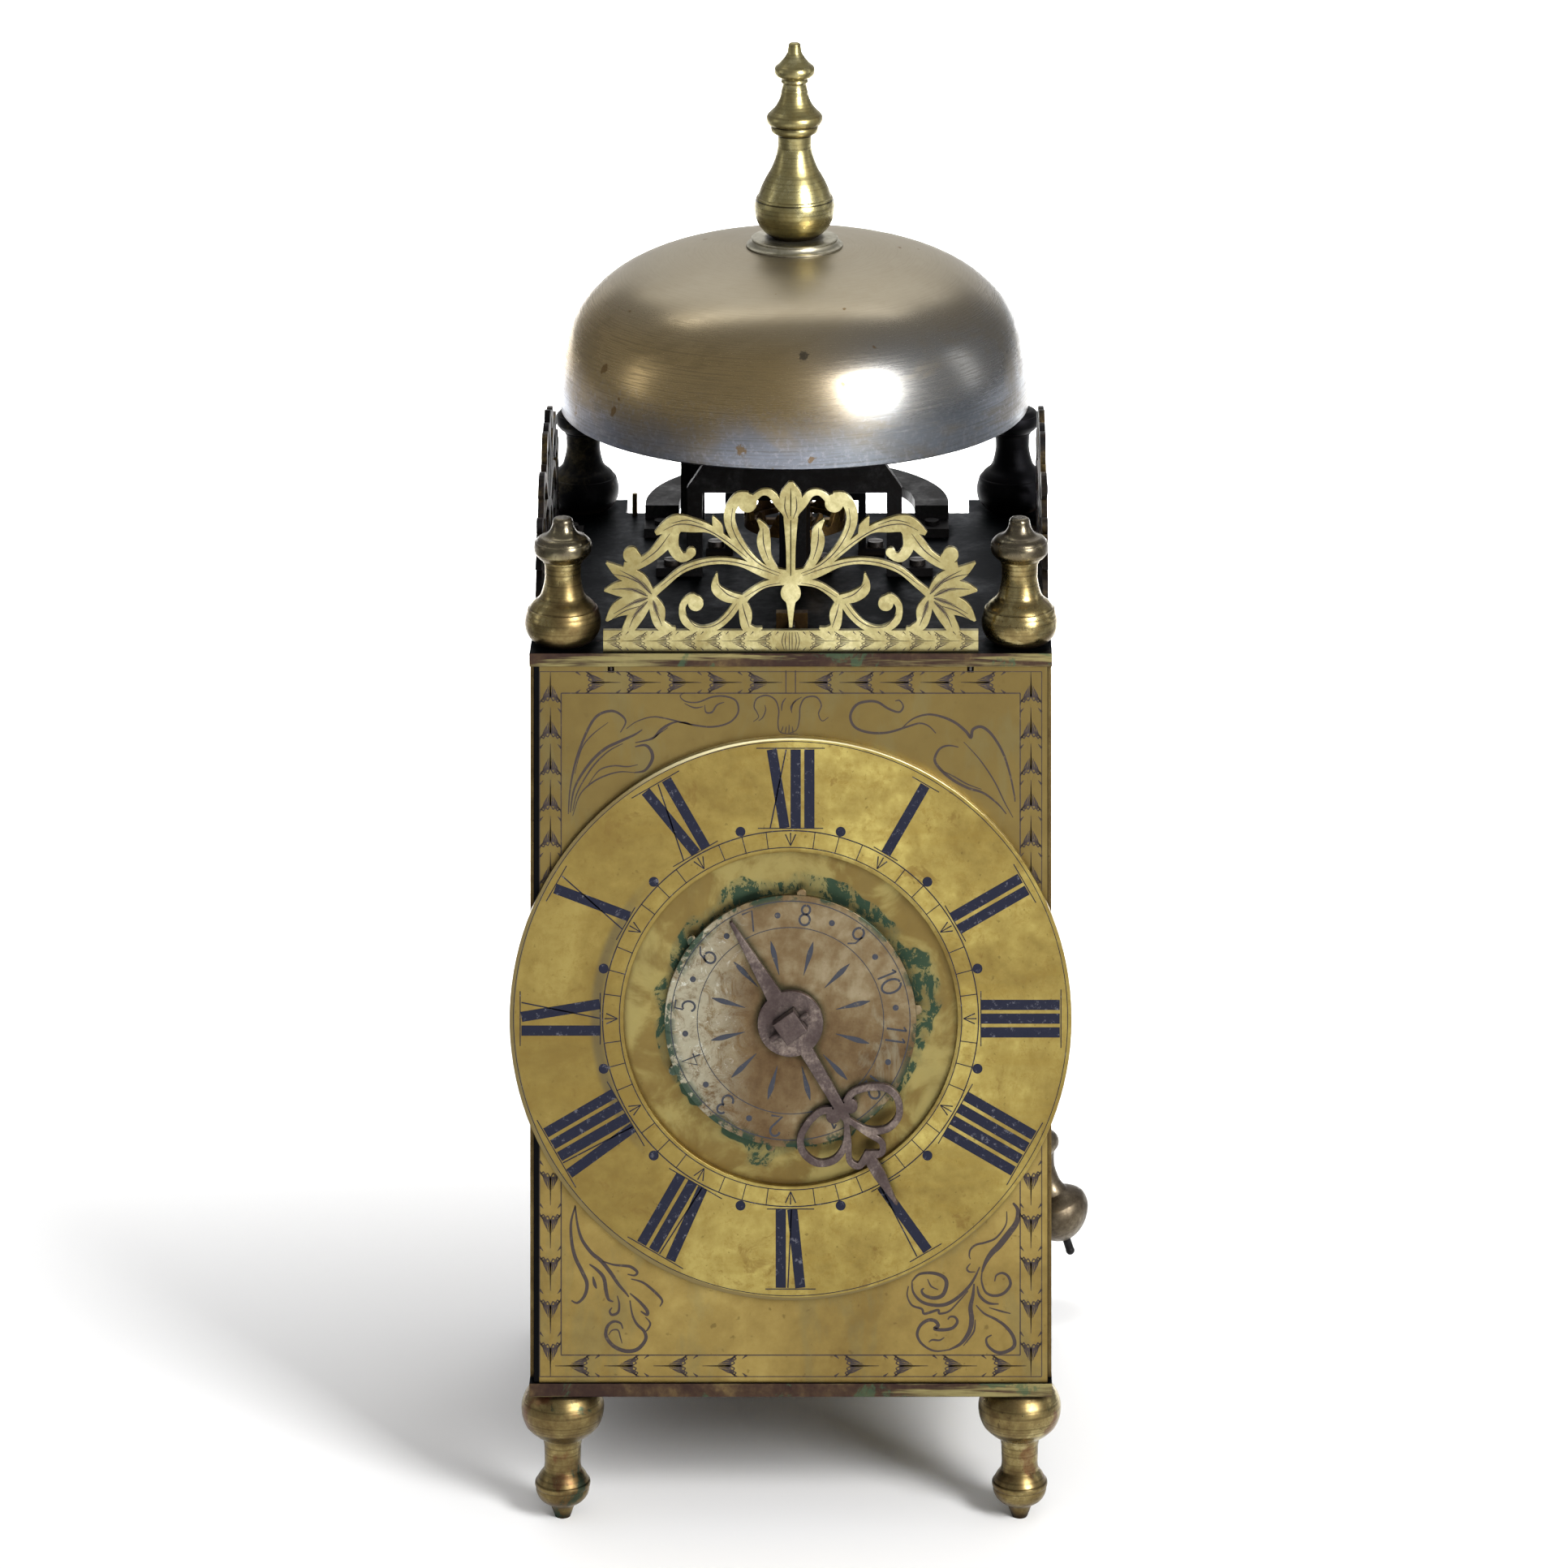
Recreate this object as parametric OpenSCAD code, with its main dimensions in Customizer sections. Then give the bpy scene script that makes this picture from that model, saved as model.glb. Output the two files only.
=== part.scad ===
// Brass lantern clock: one-handed timepiece with an alarm, a verge escapement and a short pendulum.
// Millimetres. X to the right, Y from the dial to the back, Z up.
// The origin is on the surface that the feet stand on, midway between the four feet.

/* [Case] */
// Width and depth of the top and bottom plates
plate_w = 131.4; // [128:0.2:136]
// Thickness of the top and bottom plates
plate_t = 3.3; // [2.8:0.1:4]
// Clear height between the two plates
case_h = 180.2; // [178:0.2:190]
// Distance between the axes of neighbouring corner posts
post_spacing = 115.4; // [114:0.2:116]
// Side of a square corner post
post_side = 6; // [5:0.2:6.4]
// Height of a turned foot
foot_h = 33.8; // [31:0.2:38]
// Thickness of the front plate, the doors and the back plate
sheet_t = 1.7; // [1.4:0.1:1.8]
// How far a side door opens, in degrees, when the assembly is drawn
door_open = 0; // [0:5:100]

/* [Dial] */
// Outer radius of the chapter ring
dial_r = 70.6; // [66:0.2:74]
// Inner radius of the chapter ring
dial_inner_r = 42; // [40:0.2:44]
// Thickness of the chapter ring
dial_t = 1.8; // [1.4:0.1:2]
// Height of the dial's centre below the top plate
dial_drop = 88.2; // [86:0.2:90]
// Radius of the alarm-setting disc
alarm_disc_r = 31.6; // [28:0.2:33]
// Where the hour hand points, in degrees clockwise from twelve
hand_angle = 149.5; // [0:0.5:360]

/* [Bell] */
// Radius of the bell at its rim
bell_r = 61.2; // [58:0.2:62]
// Height of the bell
bell_h = 41.3; // [38:0.1:44]
// Thickness of the bell's wall
bell_wall = 2.2; // [1.8:0.1:2.6]
// Height of the bell's rim above the top plate
bell_gap = 44.6; // [42:0.1:50]

/* [Frets] */
// Length of a fret along its base strip
fret_w = 94.3; // [92:0.2:96]
// Thickness of a fret
fret_t = 1.5; // [1.2:0.1:1.8]

/* [Pendulum] */
// How far the pendulum stands to the right of plumb, in degrees
swing = 18.1; // [-22:0.1:22]
// Distance from the verge to the centre of the bob
bob_drop = 225; // [215:0.5:225]
// Radius of the bob
bob_r = 8.7; // [7:0.1:9]

/* [Train] */
// Teeth of the great wheel
great_teeth = 56; // [56:8:56]
// Teeth of the second wheel and of the contrate wheel
train_teeth = 48; // [48:8:48]
// Leaves of the train's pinions
leaves = 8; // [8:1:8]
// Teeth of the hour wheel
hour_teeth = 72; // [72:6:72]
// Leaves of the pinion that drives the hour wheel
report_leaves = 6; // [6:1:6]
// Teeth of the crown wheel
crown_teeth = 15; // [13:2:15]

/* [Hidden] */

// Heights of the two plates, and half sizes that many pieces share
bottom_z = foot_h;
floor_z = bottom_z + plate_t;
roof_z = floor_z + case_h;
top_z = roof_z + plate_t;
half_w = plate_w / 2;
post_x = post_spacing / 2;
spigot_r = 2.4;

// Depths of the dial side, from the front plate outwards
front_y = -half_w - 0.5;
edge_y = front_y - 0.7;
front_back_y = front_y + sheet_t;
ring_y = front_y - dial_t;
dial_z = roof_z - dial_drop;
hand_t = 1.5;
hand_y = -71.4;

// Arbors of the going train stand one above another on the clock's middle line
report_m = 0.78;
great_m = 1.15;
second_m = 0.95;
contrate_m = 0.85;
great_z = dial_z - report_m * (hour_teeth + report_leaves) / 2;
second_z = great_z + great_m * (great_teeth + leaves) / 2;
contrate_z = second_z + second_m * (train_teeth + leaves) / 2;
contrate_r = contrate_m * train_teeth / 2;
crown_pinion_r = contrate_m * leaves / 2;
crown_y = 18;
crown_r = 13.6;

// The two movement bars, front faces
bar_w = 26;
bar_t = 3;
front_bar_y = -47;
rear_bar_y = 26;
pivot_r = 0.8;
fit = 0.05;
arbor_r = 1.4;

// Verge and pendulum
verge_z = top_z + 18;
verge_r = 1.3;
rod_y = 66;
bob_y = 78;

// Alarm work, at the left of the rear bar
alarm_x = -27.6;
alarm_z = 196;
hammer_y = 36;
lever_x = -44;
lever_z = 150;

bell_z = top_z + bell_gap;

// The hour arbor turns in the alarm disc's pipe
hour_arbor_r = 4.4;
disc_pipe_r = 5.8;

door_pin_x = 62.6;
notch_y = 53.6;

brass = [0.72, 0.55, 0.24];
old_brass = [0.55, 0.42, 0.2];
bright_brass = [0.83, 0.68, 0.33];
iron = [0.16, 0.14, 0.15];
steel = [0.4, 0.4, 0.42];
bell_metal = [0.6, 0.56, 0.5];

// Points along the arc from a to b that stands out by bulge, b left out
function arc(a, b, bulge, n = 7) =
    abs(bulge) < 0.01 ? [[a[0], a[1]]] :
    let (chord = [b[0] - a[0], b[1] - a[1]], len = norm(chord),
         radius = (len * len / 4 + bulge * bulge) / (2 * bulge), half = 2 * atan(2 * bulge / len),
         along = chord / len, out = [along[1], -along[0]], mid = [a[0] + b[0], a[1] + b[1]] / 2)
    [for (i = [0 : n - 1]) let (t = half * (2 * i / n - 1))
        mid + along * radius * sin(t) + out * (radius * cos(t) - radius + bulge)];

// A turned piece. Each row is radius, height, and how far the stretch up to the next row bulges.
function turned_outline(rows) = [
    for (i = [0 : len(rows) - 2]) each arc(rows[i], rows[i + 1], rows[i][2]),
    [rows[len(rows) - 1][0], rows[len(rows) - 1][1]]
];
module turned(rows) {
    rotate_extrude($fn = 96)
        polygon(concat([[0, rows[0][1]]], turned_outline(rows), [[0, rows[len(rows) - 1][1]]]));
}

// A smooth curve through points of any dimension
function between(a, b, c, d, t) =
    0.5 * (2 * b + (c - a) * t + (2 * a - 5 * b + 4 * c - d) * t * t + (3 * b - a - 3 * c + d) * t * t * t);
function curve(p, n = 5) = [
    for (i = [0 : len(p) - 2], k = [0 : n - 1])
        between(p[max(i - 1, 0)], p[i], p[i + 1], p[min(i + 2, len(p) - 1)], k / n),
    p[len(p) - 1]
];

// A flat stroke along a smooth curve. Each row is x, y and half the stroke's width there.
module stroke(rows) {
    p = curve(rows);
    last = len(p) - 1;
    function side(i, s) =
        let (t = p[min(i + 1, last)] - p[max(i - 1, 0)], l = norm([t[0], t[1]]))
        [p[i][0] - s * p[i][2] * t[1] / l, p[i][1] + s * p[i][2] * t[0] / l];
    polygon(concat([for (i = [0 : last]) side(i, 1)], [for (i = [last : -1 : 0]) side(i, -1)]));
}
module dot(x, y, r) { translate([x, y]) circle(r, $fn = 32); }

// Lay a flat outline upright, facing the front, with its front face at depth y
module facing(y, z = 0, t = 1) { translate([0, y + t, z]) rotate([90, 0, 0]) linear_extrude(t) children(); }
// A round bar from depth y0 to depth y1
module bar_y(x, z, r, y0, y1) {
    translate([x, y1, z]) rotate([90, 0, 0]) cylinder(h = y1 - y0, r = r, $fn = 48);
}
module box(x0, x1, y0, y1, z0, z1) { translate([x0, y0, z0]) cube([x1 - x0, y1 - y0, z1 - z0]); }
module rod_z(x, y, r, z0, z1) { translate([x, y, z0]) cylinder(h = z1 - z0, r = r, $fn = 48); }
module at_corners() { for (x = [-post_x, post_x], y = [-post_x, post_x]) translate([x, y, 0]) children(); }

// Toothed outline. share is the part of the pitch that a tooth fills; its flanks run straight to the
// pitch circle and curve over above it.
function tooth(c, h, r, add, ded) = [
    for (q = [[-h, -ded], [-h, 0], [-0.72 * h, 0.62 * add], [-0.25 * h, add],
              [0.25 * h, add], [0.72 * h, 0.62 * add], [h, 0], [h, -ded]])
        (r + q[1]) * [cos(c + q[0]), sin(c + q[0])]
];
module toothed(n, m, add, ded, share, phase = 0) {
    polygon([for (i = [0 : n - 1])
        each tooth(i * 360 / n + phase, 180 * share / n, n * m / 2, add * m, ded * m)]);
}
module pinion(n, m, phase) { toothed(n, m, 0.62, 1.5, 0.36, phase); }

// The opening between two spokes
module crossing(r0, r1, spokes, k, spoke_w) {
    turn = 360 / spokes;
    a0 = asin(spoke_w / 2 / r0);
    a1 = asin(spoke_w / 2 / r1);
    rotate(k * turn) polygon(concat(
        [for (i = [0 : 8]) let (a = a1 + (turn - 2 * a1) * i / 8) r1 * [cos(a), sin(a)]],
        [for (i = [5 : -1 : 0]) let (a = a0 + (turn - 2 * a0) * i / 5) r0 * [cos(a), sin(a)]]));
}
// A brass wheel with four crossings, in the plane of the dial
module spur_wheel(n, m, share, phase, y, z, t, hub, bore) {
    rim = n * m / 2 - 1.5 * m - 2.2;
    translate([0, y + t, z]) rotate([90, 0, 0]) difference() {
        linear_extrude(t) toothed(n, m, 0.8, 1.5, share, phase);
        for (k = [0 : 3]) translate([0, 0, -1]) linear_extrude(t + 2) crossing(hub, rim, 4, k, 2.6);
        translate([0, 0, -1]) cylinder(h = t + 2, r = bore, $fn = 48);
    }
}
// A crown-shaped wheel standing on its web, teeth up: gap is one gap's outline, seen from outside
module crown_shape(r, wall, depth, web, n, gap, phase, hub, bore) {
    difference() {
        union() {
            difference() {
                cylinder(h = depth, r = r, $fn = 96);
                translate([0, 0, web]) cylinder(h = depth, r = r - wall, $fn = 96);
            }
            cylinder(h = web + 1, r = hub + 1, $fn = 48);
        }
        for (k = [0 : 3]) translate([0, 0, -1]) linear_extrude(web + 1.01)
            crossing(hub + 1.6, r - wall - 1.4, 4, k, 2.2);
        for (i = [0 : n - 1]) rotate(phase + i * 360 / n) translate([r - wall - 1, 0, 0])
            rotate([90, 0, 90]) linear_extrude(wall + 2) polygon(gap);
        translate([0, 0, -1]) cylinder(h = depth + 2, r = bore, $fn = 48);
    }
}

// Screws in the top plate: x, y and the thickness of the foot that each one holds
fret_y = -half_w + 0.5;
fret_foot_y = fret_y + 5.2;
fret_foot_t = 1.4;
stand_y = -3;
stand_t = 3;
cock_foot_t = 2;
front_cock_y = 0.5;
screws = concat(
    [for (x = [-34, 34]) [x, fret_foot_y, fret_foot_t]],
    [for (x = [-1, 1], y = [-34, 34]) [x * fret_foot_y, y, fret_foot_t]],
    [for (x = [-32, 32]) [x, stand_y + 3.5, 2.2]],
    [for (x = [-21, 21]) [x, crown_y, 1.8]],
    [[7, front_cock_y + 4.5, cock_foot_t], [0, 43, cock_foot_t]]
);
alarm_rivet_y = 8;

// Places that the plates share with what passes through them
module plate_holes() {
    at_corners() translate([0, 0, -1]) cylinder(h = plate_t + 2, r = spigot_r + 0.1, $fn = 48);
}
tenon_w = 8;
module tenon_holes() {
    for (y = [front_bar_y, rear_bar_y]) box(-tenon_w / 2, tenon_w / 2, y, y + bar_t, -1, plate_t + 1);
}
module pintle_holes() {
    for (s = [-1, 1]) rod_z(s * door_pin_x, post_x, 1.2 + fit, -1, plate_t + 1);
}

module top_plate() color(old_brass) translate([0, 0, roof_z]) difference() {
    box(-half_w, half_w, edge_y, half_w, 0, plate_t);
    box(-46, 46, notch_y, half_w + 1, -1, plate_t + 1);
    plate_holes();
    tenon_holes();
    pintle_holes();
    rod_z(0, crown_y, 3.6, -1, plate_t + 1);
    rod_z(alarm_x, hammer_y, 1.6 + fit, -1, plate_t + 1);
    rod_z(-43.6, 51.4, 0.75, -1, plate_t + 1);
    rod_z(alarm_x, alarm_rivet_y, 1.5 + fit, -1, plate_t + 1);
    for (q = screws) rod_z(q[0], q[1], 1.15, plate_t - 2.8, plate_t + 1);
    edge_pins(0.05, -1, 2.2);
}

// The ropes of the two pulleys hang through the square holes
module bottom_plate() color(old_brass) translate([0, 0, bottom_z]) difference() {
    box(-half_w, half_w, edge_y, half_w, 0, plate_t);
    plate_holes();
    tenon_holes();
    pintle_holes();
    for (x = [-14, 14]) box(x - 4.5, x + 4.5, -16, -5, -1, plate_t + 1);
    for (x = [-9, 9]) box(alarm_x + x - 4, alarm_x + x + 4, 15.4, 24.4, -1, plate_t + 1);
}

// Square post with a round spigot at each end, which the foot and the finial are driven on
module post() color(iron) {
    translate([-post_side / 2, -post_side / 2, floor_z]) cube([post_side, post_side, case_h]);
    rod_z(0, 0, spigot_r, bottom_z - 12, top_z + 10);
}

finial_rows = [
    [6, 0, 0.55], [9.35, 3.3, 0.35], [9.2, 7.6, 0.05], [8.8, 8.8, 0], [8.5, 8.9, 0.15], [6.9, 10.7, -0.3],
    [5.2, 13.2, -0.1], [4.5, 16.8, 0], [4.6, 20.2, 0], [4.9, 20.3, 0], [5.1, 20.9, 0.2], [7.2, 23, 0.2],
    [7.1, 25.5, 0], [6.8, 25.6, 0.15], [5.6, 26.8, -0.35], [3.2, 28.5, -0.1], [2.6, 30.4, 0.1],
    [2.2, 31.3, 0.05], [1.6, 31.5, 0]
];
foot_rows = [
    [1.9, 0, 0], [2.3, 1, 0], [2.9, 2.6, -0.25], [4.4, 3.9, 0.35], [6.6, 6.4, 0.1], [6.7, 7.7, 0],
    [6.9, 7.9, 0.12], [6.9, 9.1, 0], [6.6, 9.3, 0.15], [4.8, 12, -0.1], [4.55, 14.5, 0], [4.65, 18, -0.05],
    [5.1, 19.8, 0], [5.4, 20.4, 0], [5.8, 20.5, 0.2], [9.2, 23.3, 0.45], [10.4, 28.6, 0.6], [7.2, 33.8, 0]
];
module corner_finial() color(brass) translate([0, 0, top_z]) difference() {
    turned(finial_rows);
    translate([0, 0, -1]) cylinder(h = 11.4, r = spigot_r + 0.1, $fn = 48);
}
module foot() color(brass) difference() {
    turned([for (q = foot_rows) [q[0], q[1] * foot_h / 33.8, q[2]]]);
    translate([0, 0, foot_h - 12.4]) cylinder(h = 13, r = spigot_r + 0.1, $fn = 48);
}

// The chapter ring's four feet, which are riveted through the front plate
ring_foot_r = 1.6;
module ring_feet(r, y0, y1) { for (x = [-42, 42], z = [-42, 42]) bar_y(x, dial_z + z, r, y0, y1); }

// Front plate: the alarm disc's pipe turns in its middle hole, and two pins that stand down from
// the top plate enter notches in its upper edge
edge_pin_x = 45.2;
edge_pin_r = 0.6;
edge_notch = [1.6, 1.7];
module edge_pins(gap, z0, z1) {
    for (s = [-1, 1]) rod_z(s * edge_pin_x, (front_y + front_back_y) / 2, edge_pin_r + gap, z0, z1);
}
module front_plate() color(old_brass) difference() {
    box(-64.6, 64.6, front_y, front_back_y, floor_z, roof_z);
    bar_y(0, dial_z, disc_pipe_r + fit, front_y - 1, front_back_y + 1);
    ring_feet(ring_foot_r + fit, front_y - 1, front_back_y + 1);
    for (x = [-edge_pin_x, edge_pin_x])
        box(x - edge_notch[0] / 2, x + edge_notch[0] / 2, front_y - 1, front_back_y + 1,
            roof_z - edge_notch[1], roof_z + 1);
}

// Back plate, with the pin that hooks it into the top plate and a pivot hole for the alarm lever
module back_plate() color(old_brass) {
    difference() {
        box(-54, 54, 50.6, 50.6 + sheet_t, floor_z, roof_z);
        bar_y(lever_x, lever_z, pivot_r + fit, 50, 53);
    }
    rod_z(-43.6, 51.4, 0.7, roof_z - 2, top_z + 5.9);
}

// Chapter ring
module chapter_ring() color(bright_brass) {
    translate([0, front_y, dial_z]) rotate([90, 0, 0]) difference() {
        cylinder(h = dial_t, r = dial_r, $fn = 128);
        translate([0, 0, -1]) cylinder(h = dial_t + 2, r = dial_inner_r, $fn = 128);
    }
    ring_feet(ring_foot_r, front_y - 0.5, front_back_y + 1);
}

// One half of the pierced foliage, from the middle line out. The strip at its foot is 5.2 high.
strip_h = 5.2;
module fret_half() {
    stroke([[0, 6, 0.35], [0, 12, 1.1], [0, 14.6, 2.4], [0, 17.2, 1.2]]);
    dot(0, 14.6, 2.5);
    stroke([[0, 18, 1.1], [0, 26, 1.2], [0, 33.5, 1.8]]);
    stroke([[0, 32.8, 1.3], [0, 36, 2.6], [0, 39.6, 2.6], [0, 42.5, 0.5]]);
    stroke([[0.6, 34.2, 0.9], [3, 37, 1], [5, 39.6, 0.9], [7.4, 39.8, 0.7], [9.6, 38, 0.9]]);
    stroke([[-0.5, 18.6, 1.6], [3.2, 19.4, 1.3], [7.4, 21.2, 0.9], [11.5, 25.2, 1], [14.6, 30.2, 1.3],
            [15.4, 34.6, 1.4], [13.4, 38.4, 1.3], [10.6, 39, 0.9]]);
    dot(10.9, 37.2, 2.3);
    stroke([[3.6, 19.8, 0.8], [6, 23.6, 1.2], [6.8, 27.6, 1.7], [6.7, 30.6, 1.1], [8.3, 33, 0.25]]);
    stroke([[9, 22, 0.8], [14.5, 26.6, 0.8], [19.8, 30.4, 0.9], [24.6, 31.6, 1.7], [29.4, 32, 2],
            [34, 29.6, 0.5]]);
    stroke([[17.4, 28.4, 0.5], [18.4, 31.2, 1.2], [19.6, 33.8, 0.2]]);
    stroke([[29, 31, 1.6], [31.6, 27.4, 1.8], [35.4, 23.6, 1.3], [39.6, 21.4, 1.2], [42, 21.6, 0.8]]);
    dot(40.2, 24.2, 1.95);
    stroke([[38.6, 21.6, 0.9], [38.2, 23.6, 0.6], [39.6, 25.2, 0.5]]);
    stroke([[29.4, 29.6, 1.3], [29.6, 26.2, 1.4], [27.6, 23.6, 1.2], [25, 24.2, 0.8]]);
    dot(25.1, 24.8, 1.2);
    stroke([[-0.5, 18, 1.3], [6, 19.4, 1.1], [13, 22.2, 0.8], [20, 22.6, 0.8], [27, 20.6, 0.8],
            [32, 16.6, 0.8], [35.4, 13.8, 1]]);
    stroke([[34.6, 13.6, 0.7], [38, 18, 1.6], [42.6, 19.6, 1.6], [46.4, 22.2, 0.2]]);
    stroke([[34.6, 13.8, 0.8], [39.6, 15.4, 2.1], [43.6, 15.6, 1.7], [46.9, 15.2, 0.2]]);
    stroke([[35, 13.4, 0.9], [39.6, 12, 2.3], [43.6, 10.4, 1.8], [46.4, 7.6, 0.25]]);
    stroke([[35.2, 13.6, 1.1], [38.4, 9.6, 1.9], [40.6, 6, 1.6], [41, 4.6, 1.5]]);
    stroke([[35, 13.8, 0.8], [33.6, 10.4, 1.9], [33, 7, 1.4], [30.6, 5.4, 1.1], [29, 5.8, 0.3]]);
    stroke([[1, 17.6, 0.9], [6.4, 16.8, 0.8], [10.6, 14.2, 0.9], [12.6, 12, 1.2]]);
    stroke([[11.6, 13.2, 0.8], [15.6, 13.6, 1.4], [18.8, 15.8, 1.2], [18.6, 19.6, 0.15]]);
    stroke([[12.4, 13, 0.7], [11.4, 9.6, 1.6], [11.2, 6.2, 1.2], [9.2, 5.2, 0.9], [7.2, 5.8, 0.2]]);
    stroke([[13, 12.8, 1], [15.4, 9.2, 1], [18.8, 6.2, 0.9], [23, 5.4, 0.9], [26.6, 7.6, 0.9],
            [27.2, 11.4, 0.8], [25, 13.6, 0.8], [23.2, 12.6, 0.6]]);
    dot(23.9, 12, 1.9);
    translate([-0.5, 0]) square([fret_w / 2 + 0.5, strip_h]);
}
module fret_outline() {
    offset(delta = 0.04) { fret_half(); mirror([1, 0]) fret_half(); }
}
// A fret facing the front, its feet folded back on to the plate and held by screws
module fret() color(bright_brass) {
    facing(fret_y, top_z + 0.04, fret_t) fret_outline();
    for (x = [-34, 34]) difference() {
        box(x - 3.5, x + 3.5, fret_y + fret_t - 0.1, fret_y + 8.5, top_z, top_z + fret_foot_t);
        rod_z(x, fret_foot_y, 1.15, top_z - 1, top_z + 3);
    }
}

// Flat iron half ring, its ends bent down on to the top plate and riveted there
hoop_r = 40.4;
hoop_w = 9;
hoop_y = 43;
hoop_lift = 3.2;
module hanging_hoop() color(iron) {
    translate([0, hoop_y, top_z + hoop_lift]) rotate_extrude(angle = 180, $fn = 96)
        translate([hoop_r - hoop_w, 0]) square([hoop_w, 2.8]);
    for (s = [-1, 1]) {
        cx = s * (hoop_r - hoop_w / 2);
        box(cx - hoop_w / 2, cx + hoop_w / 2, hoop_y - 3, hoop_y, top_z, top_z + hoop_lift + 2.8);
        box(cx - hoop_w / 2, cx + hoop_w / 2, hoop_y - 12, hoop_y - 3, top_z, top_z + 2.4);
        rod_z(cx, hoop_y - 7.5, 1.9, top_z + 2, top_z + 3.5);
    }
}

// Forged gable that stands astride the plate's middle and carries the bell on its stem
stem_r = 3.4;
stem_y = stand_y + stand_t / 2;
crown_flat = 0.15;
module bell_stand() color(iron) {
    facing(stand_y, top_z, stand_t) polygon([
        [-28, 0], [-28, 23], [-8, 51.5], [8, 51.5], [28, 23], [28, 0], [24, 0], [24, 21.8],
        [3, 21.8], [3, 0], [0, 0], [0, 21.8], [-24, 21.8], [-24, 0]]);
    for (s = [-1, 1]) difference() {
        box(min(s * 27, s * 36), max(s * 27, s * 36), stand_y, stand_y + 7, top_z, top_z + 2.2);
        rod_z(s * 32, stand_y + 3.5, 1.15, top_z - 1, top_z + 3);
    }
    rod_z(0, stem_y, stem_r, top_z + 44, bell_z + bell_h + 10);
    rod_z(0, stem_y, 7, bell_z + bell_h - bell_wall - 4, bell_z + bell_h - bell_wall - 0.14);
}

// The bell is one wall turned about the stem, full in the shoulder and flared a little at the rim
bell_power = 2.95;
rim_flare = 1.2;
flare_h = 12;
function bell_side(r, h, n = 36) = [
    for (i = [0 : n]) let (a = 90 * pow(i / n, 1.4), z = h * pow(sin(a), 2 / bell_power))
        [(r - rim_flare) * pow(cos(a), 2 / bell_power) + rim_flare * pow(max(0, 1 - z / flare_h), 2), z]
];
module bell() color(bell_metal) translate([0, stem_y, bell_z]) difference() {
    rotate_extrude($fn = 128) polygon(concat(
        bell_side(bell_r, bell_h),
        [for (i = [36 : -1 : 0]) bell_side(bell_r - bell_wall, bell_h - bell_wall)[i]]));
    translate([0, 0, bell_h - 6]) cylinder(h = 10, r = stem_r + 0.1, $fn = 48);
    translate([0, 0, bell_h - crown_flat]) cylinder(h = 2, r = 16, $fn = 96);
}
washer_t = 2.4;
washer_z = bell_z + bell_h - crown_flat;
module bell_washer() color(brass) translate([0, stem_y, washer_z]) difference() {
    turned([[12.6, 0, 0], [12.6, 0.5, -0.3], [11.2, 1.8, 0], [11.3, 2.1, 0.1], [10.6, washer_t, 0]]);
    translate([0, 0, -2]) cylinder(h = 6, r = stem_r + 0.1, $fn = 48);
}
bell_finial_rows = [
    [5.4, 0, 0], [6.8, 0.8, 1], [10.5, 7.6, 0.15], [9.9, 10.6, 0], [9.6, 10.7, 0.25], [6.6, 17, -0.3],
    [4.5, 23.2, -0.05], [4.5, 26.6, 0], [5.9, 27.3, 0.3], [5.9, 29.2, 0], [6.9, 29.5, 0.5], [6.9, 32.1, 0],
    [6.7, 32.3, -0.7], [3.5, 38, -0.05], [3.15, 40, 0], [3.6, 40.4, 0], [3.4, 41.2, 0], [4.9, 42, 0.45],
    [4.9, 44.5, 0], [4.5, 44.8, -0.2], [1.9, 48, 0], [1.6, 50.1, 0.1], [0.9, 50.6, 0]
];
module bell_finial() color(brass) translate([0, stem_y, washer_z + washer_t]) difference() {
    turned(bell_finial_rows);
    translate([0, 0, -1]) cylinder(h = 10.6, r = stem_r + 0.1, $fn = 48);
}

// Upright movement bars, held in both plates by pinned tenons
module bar(y, holes) difference() {
    union() {
        box(-bar_w / 2, bar_w / 2, y, y + bar_t, floor_z, roof_z);
        box(-tenon_w / 2, tenon_w / 2, y, y + bar_t, bottom_z - 4, top_z + 4);
    }
    for (q = holes) bar_y(0, q[0], q[1] + fit, y - 1, y + bar_t + 1);
    for (z = [bottom_z - 1.4, top_z + 1.4]) bar_y(0, z, 0.9 + fit, y - 1, y + bar_t + 1);
}
module front_bar() color(brass)
    bar(front_bar_y, [[great_z, 2.2], [dial_z, 1.5], [second_z, pivot_r], [contrate_z, pivot_r]]);
module rear_bar() color(brass)
    bar(rear_bar_y, [[great_z, 1.5], [second_z, pivot_r], [contrate_z, pivot_r]]);
module bar_pins() color(steel) {
    for (y = [front_bar_y, rear_bar_y], z = [bottom_z - 1.4, top_z + 1.4]) bar_y(0, z, 0.9, y - 4, y + 7);
    edge_pins(0, roof_z - edge_notch[1] + 0.2, roof_z + 2.1);
}

module plate_screws() color(steel) for (q = screws) {
    rod_z(q[0], q[1], 1.1, top_z - 2.6, top_z + q[2] + 0.2);
    difference() {
        rod_z(q[0], q[1], 2.1, top_z + q[2], top_z + q[2] + 1.4);
        box(q[0] - 3, q[0] + 3, q[1] - 0.25, q[1] + 0.25, top_z + q[2] + 0.9, top_z + q[2] + 2);
    }
}

// Lower bearing of the crown wheel's arbor, an arm that reaches forward from the rear bar
potence_z = 168;
module crown_potence() color(brass) {
    difference() {
        union() {
            box(-4, 4, crown_y, rear_bar_y, potence_z, potence_z + 2.6);
            rod_z(0, crown_y, 4, potence_z, potence_z + 2.6);
            box(-5, 5, rear_bar_y - 2, rear_bar_y, potence_z - 3, potence_z + 12);
        }
        rod_z(0, crown_y, pivot_r + fit, potence_z - 1, potence_z + 4);
    }
}
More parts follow.
